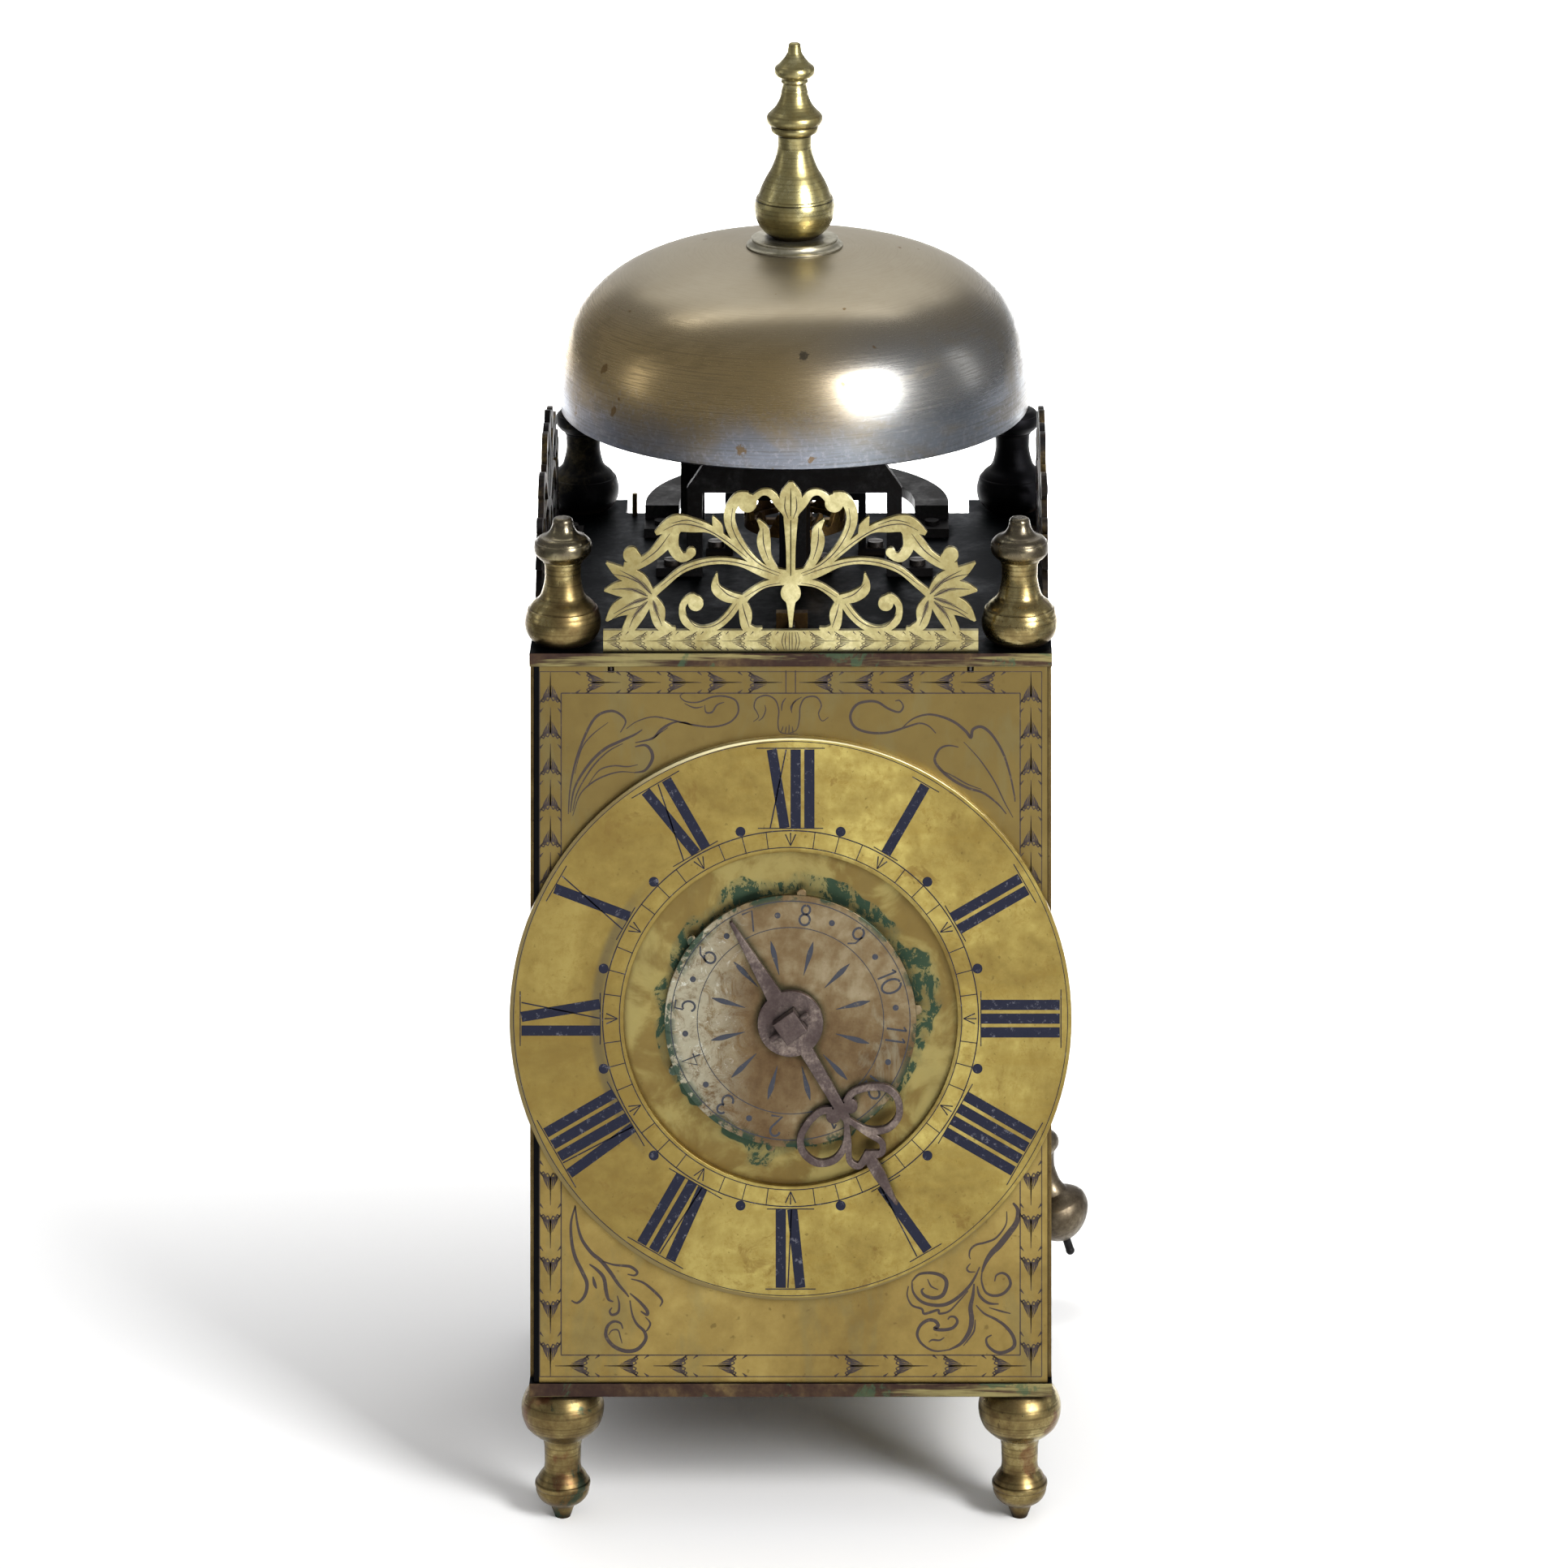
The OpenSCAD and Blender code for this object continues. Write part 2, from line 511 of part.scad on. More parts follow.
// Upper bearing, a bridge between the crown wheel and the verge
bridge_z = verge_z - verge_r - 0.35;
module crown_bridge() color(brass) difference() {
    union() {
        box(-18.5, 18.5, crown_y - 2.5, crown_y + 2.5, bridge_z - 1.9, bridge_z);
        for (s = [-1, 1]) {
            box(s * 17.5 - 1, s * 17.5 + 1, crown_y - 2.5, crown_y + 2.5, top_z, bridge_z - 1);
            box(s * 20 - 3.5, s * 20 + 3.5, crown_y - 2.5, crown_y + 2.5, top_z, top_z + 1.8);
        }
    }
    rod_z(0, crown_y, pivot_r + fit, bridge_z - 3, bridge_z + 1);
    for (q = screws) rod_z(q[0], q[1], 1.15, top_z - 1, top_z + 4);
}

// Cocks that carry the verge, each an upright leaf on a foot
cock_t = 2.4;
rear_cock_y = 48;
module cock(y, hole) difference() {
    union() {
        facing(y, top_z, cock_t)
            polygon(concat([[-4, 0]], arc([-4, 18], [4, 18], -4, 10), [[4, 18], [4, 0]]));
        children();
    }
    bar_y(0, verge_z, hole + fit, y - 1, y + cock_t + 1);
    for (q = screws) rod_z(q[0], q[1], 1.15, top_z - 1, top_z + 4);
}
module verge_front_cock() color(brass)
    cock(front_cock_y, pivot_r) box(-4, 10, front_cock_y, front_cock_y + 8, top_z, top_z + cock_foot_t);
module verge_rear_cock() color(brass)
    cock(rear_cock_y, verge_r) box(-4, 4, rear_cock_y - 8.5, rear_cock_y + 0.1, top_z, top_z + cock_foot_t);

// Iron bracket of the alarm, riveted under the top plate: its stud carries the alarm wheel, and its
// lower arm the foot of the hammer's arbor
module alarm_bracket() color(iron) difference() {
    union() {
        box(alarm_x - 5, alarm_x + 5, 2, 12, roof_z - 3, roof_z);
        box(alarm_x - 5, alarm_x + 5, 2, 4.5, 176, roof_z);
        box(alarm_x - 4, alarm_x + 4, 4.4, hammer_y, 176, 178.6);
        rod_z(alarm_x, hammer_y, 4, 176, 178.6);
        bar_y(alarm_x, alarm_z, 2, 4, 30);
        bar_y(alarm_x, alarm_z, 3, 29.8, 31);
        rod_z(alarm_x, alarm_rivet_y, 1.5, roof_z - 1, top_z + 0.6);
    }
    rod_z(alarm_x, hammer_y, 1 + fit, 175, 180);
}
// Lug on the front left post, the front bearing of the alarm lever
module lever_lug() color(brass) difference() {
    union() {
        box(-post_x + post_side / 2, lever_x, -58, -55.5, lever_z - 4, lever_z + 4);
        bar_y(lever_x, lever_z, 4, -58, -55.5);
    }
    bar_y(lever_x, lever_z, 1 + fit, -59, -55);
}

// Going train
great_y = -22;
module great_wheel() color(brass)
    spur_wheel(great_teeth, great_m, 0.46, 0, great_y, great_z, 2.6, 7, 3);
module great_arbor() color(steel) {
    bar_y(0, great_z, 3, front_bar_y + bar_t + 0.4, -3);
    bar_y(0, great_z, 2.2, -52.1, front_bar_y + bar_t + 0.5);
    bar_y(0, great_z, 4.6, -4.6, -3);
    bar_y(0, great_z, 2.4, -3.1, rear_bar_y - 0.3);
    bar_y(0, great_z, 1.5, rear_bar_y - 0.4, rear_bar_y + bar_t + 0.4);
    translate([0, -52, great_z]) rotate([90, 0, 0]) linear_extrude(4.4)
        pinion(report_leaves, report_m, 30);
    bar_y(0, great_z, 1.35, -58, -52);
}
// Rope pulley with a spiked groove, turning on the great arbor when the clock is wound
pulley_r = 13.4;
module rope_pulley() color(brass) difference() {
    union() {
        translate([0, -5, great_z]) rotate([90, 0, 0]) rotate_extrude($fn = 96) polygon([
            [0, 0], [17.4, 0], [17.4, 1.6], [pulley_r + 0.6, 3.6], [pulley_r + 0.6, 7.4], [17.4, 9.4],
            [17.4, 11], [8, 11], [8, 14], [0, 14]]);
        for (i = [0 : 11]) translate([0, -10.5, great_z]) rotate([0, i * 30, 0]) translate([0, 0, pulley_r])
            cylinder(h = 3.4, r = 0.7, $fn = 24);
    }
    bar_y(0, great_z, 3 + fit, -30, 0);
}
module second_wheel() color(brass)
    spur_wheel(train_teeth, second_m, 0.46, 0, -36, second_z, 2, 5, 1.9);
module plain_arbor(z, r, y0, y1) {
    bar_y(0, z, r, y0 + 0.3, y1 - 0.3);
    bar_y(0, z, pivot_r, y0 - bar_t + 0.2, y1 + bar_t - 0.2);
}
inner_y0 = front_bar_y + bar_t;
module second_arbor() color(steel) {
    plain_arbor(second_z, 1.9, inner_y0, rear_bar_y);
    translate([0, -16, second_z]) rotate([90, 0, 0]) linear_extrude(9.5) pinion(leaves, great_m, 22.5);
}
// The contrate wheel's teeth stand towards the back and turn the upright crown arbor
contrate_tip_y = crown_y - crown_pinion_r + 0.62;
contrate_depth = 8.4;
contrate_gap = [[-0.72, contrate_depth - 2.2], [0.72, contrate_depth - 2.2], [0.76, contrate_depth - 0.7],
                [1.15, contrate_depth + 1], [-1.15, contrate_depth + 1], [-0.76, contrate_depth - 0.7]];
module contrate_wheel() color(brass)
    translate([0, contrate_tip_y - contrate_depth, contrate_z]) rotate([-90, 0, 0])
        crown_shape(contrate_r + 1, 2, contrate_depth, 1.6, train_teeth, contrate_gap, 3.75, 4, arbor_r);
module contrate_arbor() color(steel) {
    plain_arbor(contrate_z, arbor_r, inner_y0, rear_bar_y);
    translate([0, -31, contrate_z]) rotate([90, 0, 0]) linear_extrude(8.5) pinion(leaves, second_m, 22.5);
}
// Crown wheel: raked teeth stand up round its rim, an odd number of them
crown_depth = 6;
crown_web_z = top_z + 7.6;
crown_half = 2.4 * 15 / crown_teeth;
crown_gap = [[-crown_half, crown_depth + 1], [-crown_half, crown_depth], [-1.4, crown_depth - 3.2],
             [-0.6, crown_depth - 4], [0.4, crown_depth - 3.8],
             [crown_half, crown_depth], [crown_half, crown_depth + 1]];
module crown_wheel() color(brass) translate([0, crown_y, crown_web_z])
    crown_shape(crown_r, 1.4, crown_depth, 1.4, crown_teeth, crown_gap, 0, 3.4, arbor_r);
module crown_arbor() color(steel) {
    rod_z(0, crown_y, arbor_r, potence_z + 2.9, bridge_z - 2.2);
    rod_z(0, crown_y, pivot_r, potence_z + 0.3, bridge_z - 0.2);
    translate([0, crown_y, contrate_z + contrate_r - 3]) linear_extrude(6) pinion(leaves, contrate_m, 22.5);
}

// Verge: a staff with two pallets about a right angle apart, one over each side of the crown wheel
pallet_reach = 3.7;
module swung() translate([0, 0, verge_z]) rotate([0, -swing, 0]) children();
module verge() color(steel) swung() {
    bar_y(0, 0, verge_r, front_cock_y + cock_t + 0.3, rod_y + 2.6);
    bar_y(0, 0, pivot_r, front_cock_y + 0.2, front_cock_y + cock_t + 0.4);
    bar_y(0, 0, 2.2, rear_cock_y - 1.8, rear_cock_y - 0.3);
    for (s = [-1, 1]) translate([0, crown_y + s * (crown_r - 0.7), 0]) rotate([0, s * 48, 0])
        translate([-0.45, -1.6, -pallet_reach]) cube([0.9, 3.2, pallet_reach]);
}
// Pendulum rod, cranked back below the hanging hoop so that the bob swings clear of the rear feet
rod_r = 1.1;
rod_tail = 12.2;
module rod_run(y0, z0, y1, z1) {
    d = [0, y1 - y0, z1 - z0];
    translate([0, y0, z0]) rotate([atan2(-d[1], d[2]), 0, 0]) cylinder(h = norm(d), r = rod_r, $fn = 32);
    translate([0, y1, z1]) sphere(r = rod_r + 0.1, $fn = 32);
}
module pendulum_rod() color(iron) swung() difference() {
    union() {
        bar_y(0, 0, 3, rod_y - 2.2, rod_y + 2.2);
        rod_run(rod_y, 0, rod_y, -28);
        rod_run(rod_y, -28, bob_y, -56);
        rod_run(bob_y, -56, bob_y, -bob_drop - rod_tail);
    }
    bar_y(0, 0, verge_r, rod_y - 4, rod_y + 4);
}
bob_rows = [
    [2.6, -8.3, 0.8], [8.2, -2.6, 0.45], [8.2, 1.7, 0.3], [5, 4.2, 0], [4.4, 4.5, -0.2], [3.2, 7.5, -0.05],
    [3.1, 10.9, -0.15], [4.4, 15, 0], [5.9, 16.2, 0.4], [6.2, 18.8, 0.1], [5.1, 20.2, 0]
];
module pendulum_bob() color(brass) swung() translate([0, bob_y, -bob_drop]) difference() {
    turned([for (q = bob_rows) [q[0] * bob_r / 8.7, q[1], q[2]]]);
    translate([0, 0, -20]) cylinder(h = 60, r = rod_r, $fn = 32);
}

// Motion work: the hour wheel turns the arbor by friction, so the hand can be set
hour_y = -56;
module hour_wheel() color(brass) {
    spur_wheel(hour_teeth, report_m, 0.46, 2.5, hour_y, dial_z, 1.8, 8, hour_arbor_r + fit);
    translate([0, hour_y + 4.4, dial_z]) rotate([90, 0, 0]) difference() {
        cylinder(h = 2.7, r = 6.4, $fn = 48);
        translate([0, 0, -1]) cylinder(h = 5, r = hour_arbor_r + fit, $fn = 48);
    }
}
square_side = 6.2;
square_turn = -35;
hand_pin_r = 0.7;
module hour_arbor() color(iron) {
    bar_y(0, dial_z, hour_arbor_r, hand_y + hand_t, -50);
    bar_y(0, dial_z, 6.2, -51.2, -50);
    bar_y(0, dial_z, 6.2, -57.6, -56.4);
    bar_y(0, dial_z, 1.5, -50.1, front_bar_y + bar_t);
    translate([0, hand_y + hand_t, dial_z]) rotate([90, square_turn, 0]) difference() {
        translate([-square_side / 2, -square_side / 2, 0]) cube([square_side, square_side, 4.6]);
        translate([-10, 0, 3]) rotate([0, 90, 0]) cylinder(h = 20, r = hand_pin_r + fit, $fn = 24);
    }
}
// Hour hand, sawn from iron, drawn along +X from the centre of its eye
module hand_half() {
    circle(8.2, $fn = 64);
    polygon([[6, 0], [6, 1.7], [24, 1.35], [27.5, 1.1], [27.5, 0]]);
    dot(25.4, 2.5, 1.8);
    stroke([[24, 2, 0.9], [22.8, 4.6, 0.85], [23.6, 8.6, 0.85], [26, 12.4, 0.85], [29.6, 13.6, 0.85],
            [33.6, 11.8, 0.85], [35, 7.6, 0.85], [33, 3.4, 0.8], [29, 0.7, 0.7], [26, 0, 0.5]]);
    stroke([[29, 0.7, 0.6], [33.2, 2.6, 0.7], [37, 4.6, 0.75], [39.4, 3.4, 0.8], [38.6, 1, 0.9],
            [37.6, -0.4, 0.8]]);
    polygon([[37.6, 0], [37.8, 1.5], [44, 1.5], [52.6, 0.25], [52.6, 0]]);
    polygon([[-6, 0], [-6, 2], [-8, 2], [-29.5, 0.35], [-29.5, 0]]);
}
module hour_hand() color(iron)
    translate([0, hand_y + hand_t, dial_z]) rotate([90, hand_angle - 90, 0])
        linear_extrude(hand_t) difference() {
            offset(delta = 0.02) { hand_half(); mirror([0, 1]) hand_half(); }
            rotate(hand_angle - 90 - square_turn) square(square_side + 0.1, center = true);
        }
module hand_pin() color(steel)
    translate([0, hand_y + hand_t - 3, dial_z]) rotate([0, square_turn, 0]) translate([-6, 0, 0])
        rotate([0, 90, 0]) cylinder(h = 11.5, r = hand_pin_r, $fn = 24);

// Alarm-setting disc with small lugs on its rim; behind the front plate its pipe carries a notched cam
disc_y = -69.4;
disc_t = 1.2;
cam_r = 9;
module alarm_disc() color([0.6, 0.42, 0.24]) difference() {
    union() {
        bar_y(0, dial_z, alarm_disc_r, disc_y, disc_y + disc_t);
        for (a = [5, 85, 141, 203, 261])
            bar_y((alarm_disc_r + 0.3) * cos(a), dial_z + (alarm_disc_r + 0.3) * sin(a), 1.2,
                  disc_y + 0.2, disc_y + disc_t);
        bar_y(0, dial_z, disc_pipe_r, disc_y + 0.1, -60.4);
        difference() {
            bar_y(0, dial_z, cam_r, -62.2, -60.4);
            box(-2, 2, -63, -60, dial_z + cam_r - 2.6, dial_z + cam_r + 1);
        }
    }
    bar_y(0, dial_z, hour_arbor_r + fit, disc_y - 1, -59);
}

// Alarm: a crown-toothed wheel with its rope pulley turns on the stud and rocks the hammer arbor
alarm_r = 10.4;
alarm_depth = 5;
alarm_tip_y = hammer_y - 4.2;
alarm_gap = [[-0.9, alarm_depth - 3], [0.9, alarm_depth - 3],
             [1.75, alarm_depth + 1], [-1.75, alarm_depth + 1]];
module alarm_wheel() color(brass) translate([alarm_x, alarm_tip_y - alarm_depth, alarm_z]) rotate([-90, 0, 0])
    crown_shape(alarm_r, 1.4, alarm_depth, 1.6, 15, alarm_gap, 0, 3.4, 2 + fit);
module alarm_pulley() color(brass) difference() {
    translate([alarm_x, 24.6, alarm_z]) rotate([90, 0, 0]) rotate_extrude($fn = 96) polygon([
        [0, -2.2], [5, -2.2], [5, 0], [11.4, 0], [11.4, 1.4], [8.6, 3.4], [8.6, 6], [11.4, 8],
        [11.4, 9.4], [0, 9.4]]);
    bar_y(alarm_x, alarm_z, 2 + fit, 10, 30);
}
// The alarm's verge is upright: pallets beside the wheel, a flat shank through the plate, the hammer above
shank_w = 6.3;
shank_t = 2.6;
module alarm_verge() color(iron) {
    rod_z(alarm_x, hammer_y, 1.6, 179, top_z + 2.2);
    rod_z(alarm_x, hammer_y, 1, 176.3, 179.1);
    box(alarm_x - shank_w / 2, alarm_x + shank_w / 2, hammer_y - shank_t / 2, hammer_y + shank_t / 2,
        top_z + 2, bell_z + 9);
    for (s = [-1, 1]) translate([alarm_x, hammer_y, alarm_z + s * (alarm_r - 0.7)]) rotate([0, 0, s * 48])
        translate([-0.45, -3.6, -1.5]) cube([0.9, 3.6, 3]);
}
hammer_turn = 217;
hammer_arm = 17.6;
module alarm_hammer() color(iron)
    translate([alarm_x, hammer_y, bell_z + 5.4]) rotate(hammer_turn) difference() {
        union() {
            translate([0, -1.1, -2]) cube([hammer_arm, 2.2, 4]);
            translate([0, 0, -2.4]) cylinder(h = 4.8, r = 4.6, $fn = 48);
            translate([hammer_arm, 5, 0]) rotate([90, 0, 0])
                turned([[1.6, 0, 0.5], [4.2, 2.6, 0.15], [4.2, 7.4, 0.5], [1.6, 10, 0]]);
        }
        rotate(-hammer_turn) box(-shank_w / 2, shank_w / 2, -shank_t / 2, shank_t / 2, -4, 4);
    }
// Let-off lever: its nose rides on the disc's cam, and its upright arm holds the alarm wheel
module alarm_lever() color(iron) {
    bar_y(lever_x, lever_z, 1.5, -55.2, 50.2);
    bar_y(lever_x, lever_z, 1, -60, -55.1);
    bar_y(lever_x, lever_z, pivot_r, 50.1, 51.8);
    translate([0, -58.6, 0]) rotate([90, 0, 0]) linear_extrude(2.8) polygon([
        [lever_x - 3, lever_z - 2], [lever_x - 3, lever_z + 2.6], [lever_x + 3, lever_z + 2.6], [1.6, 145],
        [1.6, dial_z + cam_r + 0.6], [-1.6, dial_z + cam_r + 0.6], [-3, 142], [lever_x + 3, lever_z - 2]]);
    translate([0, 31, 0]) rotate([90, 0, 0]) linear_extrude(2.4) polygon([
        [lever_x - 2.4, lever_z - 2.4], [lever_x + 2.4, lever_z - 2.4], [lever_x + 1.2, 192],
        [lever_x + 5, 194.4], [lever_x + 5, 196.6], [lever_x - 1.2, 196.6]]);
}

// Side door: a plain sheet riveted to an iron rod whose ends turn in the two plates
door_x = 64.1;
module door(s) {
    translate([s * door_pin_x, post_x, 0]) rotate(s * door_open) translate([-s * door_pin_x, -post_x, 0]) {
        box(min(s * door_x, s * (door_x + 1.5)), max(s * door_x, s * (door_x + 1.5)),
            -63.8, post_x + 1, floor_z + 0.4, roof_z - 0.4);
        rod_z(s * door_pin_x, post_x, 1.2, bottom_z + 0.4, top_z - 0.4);
        for (z = [floor_z + 12, dial_z, roof_z - 12])
            box(min(s * door_pin_x, s * (door_x + 0.1)), max(s * door_pin_x, s * (door_x + 0.1)),
                post_x - 1.2, post_x + 1, z - 4, z + 4);
    }
}
module left_door() color(old_brass) door(-1);
module right_door() color(old_brass) door(1);

module corner(x, y) translate([x * post_x, y * post_x, 0]) children();

top_plate();
bottom_plate();
corner(-1, -1) post();  // post_front_left
corner(1, -1) post();  // post_front_right
corner(-1, 1) post();  // post_rear_left
corner(1, 1) post();  // post_rear_right
corner(-1, -1) corner_finial();  // finial_front_left
corner(1, -1) corner_finial();  // finial_front_right
corner(-1, 1) corner_finial();  // finial_rear_left
corner(1, 1) corner_finial();  // finial_rear_right
corner(-1, -1) foot();  // foot_front_left
corner(1, -1) foot();  // foot_front_right
corner(-1, 1) foot();  // foot_rear_left
corner(1, 1) foot();  // foot_rear_right
front_plate();
back_plate();
chapter_ring();
fret();  // front_fret
rotate(-90) fret();  // left_fret
rotate(90) fret();  // right_fret
hanging_hoop();
bell_stand();
bell();
bell_washer();
bell_finial();
front_bar();
rear_bar();
bar_pins();
plate_screws();
crown_potence();
crown_bridge();
verge_front_cock();
verge_rear_cock();
alarm_bracket();
lever_lug();
great_wheel();
great_arbor();
rope_pulley();
second_wheel();
second_arbor();
contrate_wheel();
contrate_arbor();
crown_wheel();
crown_arbor();
verge();
pendulum_rod();
pendulum_bob();
hour_wheel();
hour_arbor();
hour_hand();
hand_pin();
alarm_disc();
alarm_wheel();
alarm_pulley();
alarm_verge();
alarm_hammer();
alarm_lever();
left_door();
right_door();
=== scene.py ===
"""Looks of a brass lantern clock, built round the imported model. All lengths are in metres."""
import math

import bmesh
import bpy
from mathutils import Matrix, Vector


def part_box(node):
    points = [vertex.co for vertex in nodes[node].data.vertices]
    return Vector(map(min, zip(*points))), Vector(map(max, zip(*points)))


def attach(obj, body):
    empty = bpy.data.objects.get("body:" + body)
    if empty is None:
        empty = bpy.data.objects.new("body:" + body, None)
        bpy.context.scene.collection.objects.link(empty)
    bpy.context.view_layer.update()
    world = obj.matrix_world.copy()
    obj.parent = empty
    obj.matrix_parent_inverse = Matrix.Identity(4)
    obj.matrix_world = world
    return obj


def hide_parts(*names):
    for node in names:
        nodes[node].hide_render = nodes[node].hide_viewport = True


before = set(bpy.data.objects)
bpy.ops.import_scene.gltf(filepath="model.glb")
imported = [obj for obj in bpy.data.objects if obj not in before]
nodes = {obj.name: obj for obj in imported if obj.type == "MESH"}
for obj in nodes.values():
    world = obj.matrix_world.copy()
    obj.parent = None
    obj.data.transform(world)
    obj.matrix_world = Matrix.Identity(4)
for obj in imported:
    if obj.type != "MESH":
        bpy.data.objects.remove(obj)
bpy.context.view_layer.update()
scene = bpy.context.scene
mm = 0.001


class Field:
    """A number, colour or vector that varies over a surface. Arithmetic on it adds Math nodes."""

    def __init__(self, socket):
        self.socket = socket
        self.tree = socket.id_data

    def __add__(self, other):
        return calc("ADD", self, other)

    def __radd__(self, other):
        return calc("ADD", other, self)

    def __sub__(self, other):
        return calc("SUBTRACT", self, other)

    def __rsub__(self, other):
        return calc("SUBTRACT", other, self)

    def __mul__(self, other):
        return calc("MULTIPLY", self, other)

    def __abs__(self):
        return calc("ABSOLUTE", self)


class Outputs:
    """A node's outputs as fields, by name or number."""

    def __init__(self, node):
        self.node = node

    def __getitem__(self, key):
        return Field(self.node.outputs[key])


def feed(node, inputs):
    """Sets inputs of a node, each to a value or to the field that feeds it."""
    for name, value in inputs.items():
        if isinstance(value, Field):
            node.id_data.links.new(value.socket, node.inputs[name])
        else:
            node.inputs[name].default_value = value


def put(tree, kind, inputs=(), **settings):
    """Adds a shader node and gives its outputs."""
    node = tree.nodes.new("ShaderNode" + kind)
    for name, value in settings.items():
        setattr(node, name, value)
    feed(node, dict(inputs))
    return Outputs(node)


def calc(operation, *values):
    tree = next(value.tree for value in values if isinstance(value, Field))
    return put(tree, "Math", dict(enumerate(values)), operation=operation)[0]


def hypotenuse(x, y):
    return calc("SQRT", x * x + y * y)


def step(value, low, high):
    """0 below low, 1 above high, and a soft step between them."""
    return put(value.tree, "MapRange", {0: value, 1: low, 2: high}, interpolation_type="SMOOTHSTEP")[0]


def mixed(factor, first, second):
    return put(factor.tree, "Mix", {0: factor, 6: first, 7: second}, data_type="RGBA")[2]


def xyz(vector):
    return put(vector.tree, "SeparateXYZ", {0: vector})


def bump(height, strength, depth, **others):
    return put(height.tree, "Bump",
               {"Height": height, "Strength": strength, "Distance": depth, **others})[0]


def grey(value):
    return (value, value, value, 1)


def colour(red, green, blue):
    """A colour given as it looks on a screen, 0 to 255, turned into the renderer's linear values."""
    def linear(v):
        v /= 255
        return v / 12.92 if v <= 0.04045 else ((v + 0.055) / 1.055) ** 2.4
    return (linear(red), linear(green), linear(blue), 1.0)


def stained(body, mask, red, green, blue):
    """The colour so far, with a stain over it where the mask is 1. Red, green and blue are as in colour."""
    return mixed(mask, body, colour(red, green, blue))


def new_material(name):
    """A material with its Principled shader and a place that sticks to the object's own surface."""
    made = bpy.data.materials.new(name)
    made.use_nodes = True
    tree = made.node_tree
    return made, tree.nodes["Principled BSDF"], put(tree, "TexCoord")["Object"]


def new_object(name, data):
    made = bpy.data.objects.new(name, data)
    scene.collection.objects.link(made)
    return made


# The photographer's table: a sheet of white paper, larger than the view, that the clock stands on.
# It isn't part of the object. Where the metal mirrors it, its sides are painted dark grey: a painted
# reflection. Far from the clock it glows by itself, so that it stays white in views towards its edge, where
# no lamp stands.
paper_side = 12.0
paper_white, paper_mirrored, paper_glow = grey(0.9), (0.24, 0.24, 0.25, 1), grey(0.8)
side_start, side_full = 0.1, 0.3
glow_start, glow_full = 0.9, 2.0
paper, shader, place = new_material("white_paper")
parts = xyz(place)
rays = put(place.tree, "LightPath")
# painted reflection: the sides of the paper look dark grey to glossy rays only
aside = step(abs(parts[0]) - abs(parts[1]) * 0.55, side_start, side_full) * rays["Is Glossy Ray"]
away = put(place.tree, "VectorMath", {0: place}, operation="LENGTH")["Value"] - parts[1] * 0.6
far_off = step(away, glow_start, glow_full) * rays["Is Camera Ray"]
grain = put(place.tree, "TexNoise", {"Vector": place, "Scale": 40.0, "Detail": 3.0})[0]
feed(shader, {"Base Color": mixed(aside, paper_white, paper_mirrored), "Roughness": 0.9,
              "Specular IOR Level": 0.1, "Emission Color": mixed(far_off, grey(0), paper_glow),
              "Emission Strength": 1.0, "Normal": bump(grain, 0.05, 0.001)})
floor_mesh = bpy.data.meshes.new("paper_sheet")
half = paper_side / 2
floor_mesh.from_pydata([(-half, -half, 0), (half, -half, 0), (half, half, 0), (-half, half, 0)], [],
                       [(0, 1, 2, 3)])
floor_mesh.materials.append(paper)
new_object("paper_sheet", floor_mesh)

# The room. It lights the clock softly from above, is seen as white, and looks grey where the metal
# mirrors it, apart from its bright rear wall.
scene.view_settings.view_transform = "Standard"
world = bpy.data.worlds.new("studio")
scene.world = world
world.use_nodes = True
tree = world.node_tree
tree.nodes.clear()
sky = xyz(put(tree, "TexCoord")["Generated"])
room = mixed(step(sky[1], 0.82, 0.93), (0.34, 0.34, 0.35, 1), grey(1.0))
dome = mixed(step(sky[2], 0.0, 0.8), grey(0.025), grey(0.7))
rays = put(tree, "LightPath")
lit = put(tree, "Background", {"Color": dome, "Strength": 1.0})
mirrored = put(tree, "Background", {"Color": room, "Strength": 1.0})
wall = put(tree, "Background", {"Color": grey(1), "Strength": 1.1})
both = put(tree, "MixShader", {0: rays["Is Glossy Ray"], 1: lit[0], 2: mirrored[0]})
both = put(tree, "MixShader", {0: rays["Is Camera Ray"], 1: both[0], 2: wall[0]})
put(tree, "OutputWorld", {"Surface": both[0]})

lamp_aim = Vector((0, 0, 0.2))


def area_lamp(name, location, width, height, energy):
    data = bpy.data.lights.new(name, "AREA")
    data.shape = "RECTANGLE"
    data.size, data.size_y = width, height
    data.energy = energy
    made = new_object(name, data)
    made.location = location
    made.visible_camera = False
    return made


def lamp(name, azimuth, elevation, distance, width, height, radiance):
    """A soft lamp aimed at the clock. Azimuth 0 is in front of the dial and 90 at the right."""
    a, e = math.radians(azimuth), math.radians(elevation)
    back = Vector((math.sin(a) * math.cos(e), -math.cos(a) * math.cos(e), math.sin(e)))
    made = area_lamp(name, lamp_aim + back * distance, width, height, math.pi * width * height * radiance)
    made.rotation_euler = back.to_track_quat("Z", "Y").to_euler()
    return made


